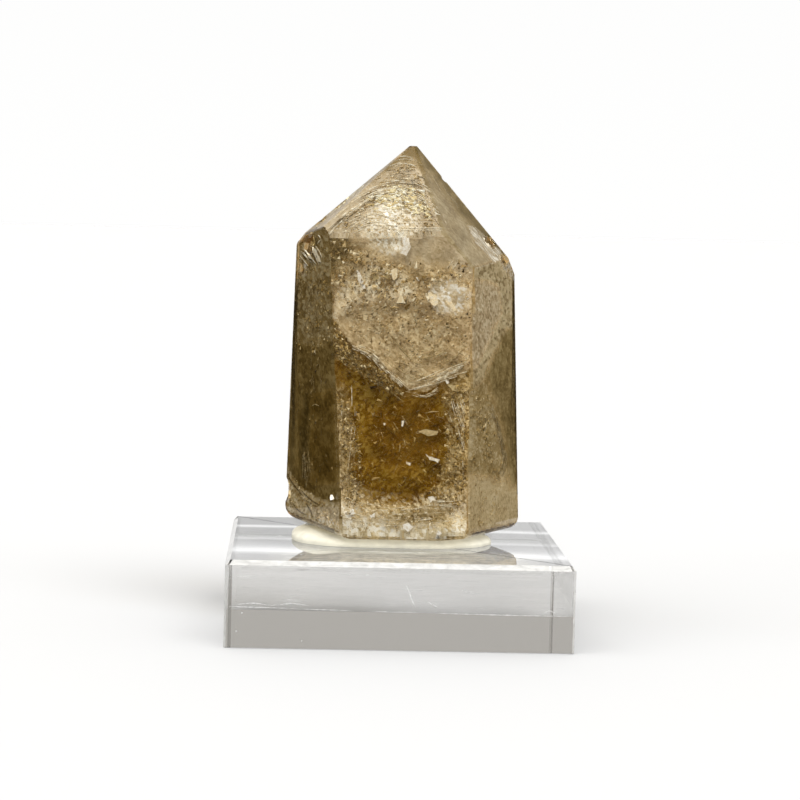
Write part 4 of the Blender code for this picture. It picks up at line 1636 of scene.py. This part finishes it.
def hazeMaterial(name, look):
    material, tree = newMaterial(name)
    coords = node(tree, "ShaderNodeTexCoord")
    drawn = node(tree, "ShaderNodeMapping", vector_type="TEXTURE")
    drawn.inputs["Scale"].default_value = tuple(size * mm for size in look["grain"])
    streaks = node(tree, "ShaderNodeTexNoise", Scale=1.0, Detail=5.0, Roughness=0.6, Distortion=0.3)
    middle = look.get("from", 0.5)
    cover = coverNode(tree, middle - look["soften"], middle + look["soften"], look["cover"])
    shader = mattShader(tree, 0.6)
    shader.inputs["Base Color"].default_value = (*look["colour"], 1)
    join(tree, coords.outputs["Object"], drawn.inputs["Vector"])
    join(tree, drawn.outputs[0], streaks.inputs["Vector"])
    join(tree, streaks.outputs[0], cover.inputs["Value"])
    alpha = cover
    if look.get("fades"):
        fade = node(tree, "ShaderNodeAttribute", attribute_name="fade")
        alpha = node(tree, "ShaderNodeMath", operation="MULTIPLY")
        join(tree, cover.outputs[0], alpha.inputs[0])
        join(tree, fade.outputs["Fac"], alpha.inputs[1])
    join(tree, alpha.outputs[0], shader.inputs["Alpha"])
    return material


blockLow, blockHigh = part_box("acrylic_block")


def blockEdgeSheen(spec):    # the narrow faces of the block, each a little way in: whitish sheets that paint a highlight on the chamfers
    shrink, level = 0.02, 0.1
    source = bmesh.new()
    source.from_mesh(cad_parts["acrylic_block"].data)
    middle = (blockLow + blockHigh) / 2
    bm = bmesh.new()
    for face in source.faces:
        tilted = sum(abs(part) > level for part in face.normal) >= 2
        backUpright = abs(face.normal.z) < level and face.normal.y > level
        if tilted and not backUpright:
            centre = face.calc_center_median()
            shift = (middle - centre).normalized() * spec["edgeDepth"] * mm
            corners = [vertex.co + (centre - vertex.co) * shrink + shift for vertex in face.verts]
            bm.faces.new([bm.verts.new(corner) for corner in corners])
    source.free()
    material = hazeMaterial("paintedEdgeSheen", spec["edgeSheenLook"])
    return addPiece("block_edge_sheen", meshFrom(bm, "block_edge_sheen"), material)


def blockStreakSheets(spec, name, look, depth):
    bm = bmesh.new()
    for turn in range(4):    # a sheet behind each upright face, across its upper half: painted reflection streaks
        side = Vector((cos(turn * pi / 2), sin(turn * pi / 2), 0))
        out = Vector((side.y, -side.x, 0)) * (blockHigh.x - depth * mm)
        half = blockHigh.x - spec["streakInset"] * mm
        corners = [out - side * half, out + side * half]
        bottom, top = spec["streakLow"] * mm, spec["streakHigh"] * mm
        ring = [(corners[0].x, corners[0].y, bottom), (corners[1].x, corners[1].y, bottom),
                (corners[1].x, corners[1].y, top), (corners[0].x, corners[0].y, top)]
        bm.faces.new([bm.verts.new(corner) for corner in ring])
    return addPiece(name, meshFrom(bm, name), hazeMaterial(name, look))


def blockPlace(px, py, level):    # a place just under the block's front face, or under its top
    underFront, underTop = 0.12 * mm, 0.08 * mm
    line, place = sightLine(px, py), cameraView["place"]
    if level == "front":
        return place + line * ((blockLow.y + underFront - place.y) / line.y)
    return place + line * ((blockHigh.z - underTop - place.z) / line.z)


def blockMarks(name, spec):    # scratches, specks and painted highlight lines, as narrow flat strips
    chance = random.Random(spec["seed"])
    lowest = 0.4 * mm
    bm = bmesh.new()
    for level, width, corners in spec["marks"]:
        line = [spot for spot in smoothPath(corners, 6) if blockPlace(*spot, level).z > lowest]
        if len(line) < 3:
            continue
        sides = []
        for number, (px, py) in enumerate(line):
            nextX, nextY = line[min(number + 1, len(line) - 1)]
            lastX, lastY = line[max(number - 1, 0)]
            run = Vector((nextX - lastX, nextY - lastY)).normalized()
            half = width / 2 * (0.25 + sin(pi * number / (len(line) - 1))) * chance.uniform(0.5, 1.2)
            places = [blockPlace(px + run.y * way, py - run.x * way, level) for way in (half, -half)]
            sides.append([bm.verts.new(place) for place in places])
        for (a, b), (c, d) in zip(sides, sides[1:]):
            bm.faces.new([a, b, d, c])
    return addPiece(name, meshFrom(bm, name), hazeMaterial(name, spec["look"]))


def blockTopPatch(name, spec):    # a pale patch just under the top, thinning out to its sides: painted light where the top mirrors the putty
    (left, right), (front, back) = spec["across"], spec["deep"]
    parts, level = spec["parts"], blockHigh.z - spec["under"] * mm
    bm = bmesh.new()
    fade = bm.verts.layers.float.new("fade")
    grid = {}
    for column in range(parts + 1):
        for row in range(parts + 1):
            across, deep = column / parts, row / parts
            place = (left + (right - left) * across, front + (back - front) * deep)
            vertex = bm.verts.new((place[0] * mm, place[1] * mm, level))
            vertex[fade] = min(1, 5 * across, 5 * (1 - across), 3 * (1 - deep))
            grid[column, row] = vertex
    for column in range(parts):
        for row in range(parts):
            bm.faces.new([grid[column, row], grid[column + 1, row], grid[column + 1, row + 1],
                          grid[column, row + 1]])
    return addPiece(name, meshFrom(bm, name), hazeMaterial(name, spec["look"]))


blockMarks("block_marks_and_highlight_lines", {
    "seed": 95,
    "look": {"colour": (0.95, 0.95, 0.93), "cover": (0.35, 1.0), "grain": (1.5, 1, 1), "soften": 0.10},
    "marks": [    # level, width in frame units, course
        # the first four marks join into one white line along the boundary between the front face's two
        # reflection bands: a painted highlight line
        ("front", 0.9, [(229, 606.4), (262, 607.4), (300, 608.6)]),
        ("front", 0.7, [(296, 608.8), (352, 610.6)]),
        ("front", 0.6, [(372, 611.4), (418, 612.4)]),
        ("front", 0.9, [(436, 613.2), (500, 615.0), (574, 616.6)]),
        ("front", 0.9, [(236, 604.5), (252, 603.0), (270, 605.2)]),
        ("front", 0.8, [(270, 606), (291, 603.4), (310, 606)]),
        ("front", 1.1, [(406, 584), (410, 594), (412, 600), (415, 607)]),
        ("front", 0.8, [(428, 602), (437, 607)]),
        ("front", 0.8, [(462, 590), (472, 592)]), ("front", 1.0, [(544, 613), (550, 611), (556, 614)]),
        ("front", 1.6, [(241, 612.9), (243, 612.9)]), ("front", 1.6, [(235.4, 631.2), (237.2, 631.2)]),
        ("front", 1.2, [(301, 641), (302.4, 641)]), ("front", 1.4, [(394, 660), (398, 659)]),
        ("front", 1.6, [(434, 661), (441, 660)]), ("front", 1.2, [(521, 662), (525, 661)]),
        ("front", 1.2, [(236, 655), (238, 655.6)]), ("front", 1.0, [(552, 655), (553.4, 655)]),
        ("top", 1.4, [(279, 536), (281.4, 536)]), ("top", 1.3, [(238, 550.8), (240.4, 550.8)]),
        # the long top mark from (357, 551.5) to (430, 553.4) is a painted highlight line along the putty's
        # foot
        ("top", 1.2, [(300, 555), (302.4, 555)]), ("top", 0.8, [(357, 551.5), (392, 552.6), (430, 553.4)]),
    ],
})
# painted light: a pale patch where the block's top mirrors the putty
blockTopPatch("block_top_painted_reflection", {
    "across": (-30, 32), "deep": (-37.2, -18), "under": 0.10, "parts": 16,
    "look": {"fades": True, "colour": (0.92, 0.88, 0.77), "cover": (0.45, 1.0), "grain": (3.5, 1.6, 1),
             "soften": 0.14},
})
blockEdgeSheen(blockTrim)
# painted reflection streaks, grey and whitish, under the upright faces
blockStreakSheets(blockTrim, "block_painted_streaks_dark", blockTrim["paintedStreakDarkLook"], blockTrim["streakDepth"])
blockStreakSheets(blockTrim, "block_painted_streaks_bright", blockTrim["paintedStreakBrightLook"], blockTrim["streakDepth"] * 0.5)
print("block ready")

scene = bpy.context.scene
scene.view_settings.view_transform = "Standard"
scene.cycles.max_bounces = 32
scene.cycles.transmission_bounces = 24
scene.cycles.transparent_max_bounces = 48
scene.cycles.caustics_refractive = False
scene.cycles.caustics_reflective = False
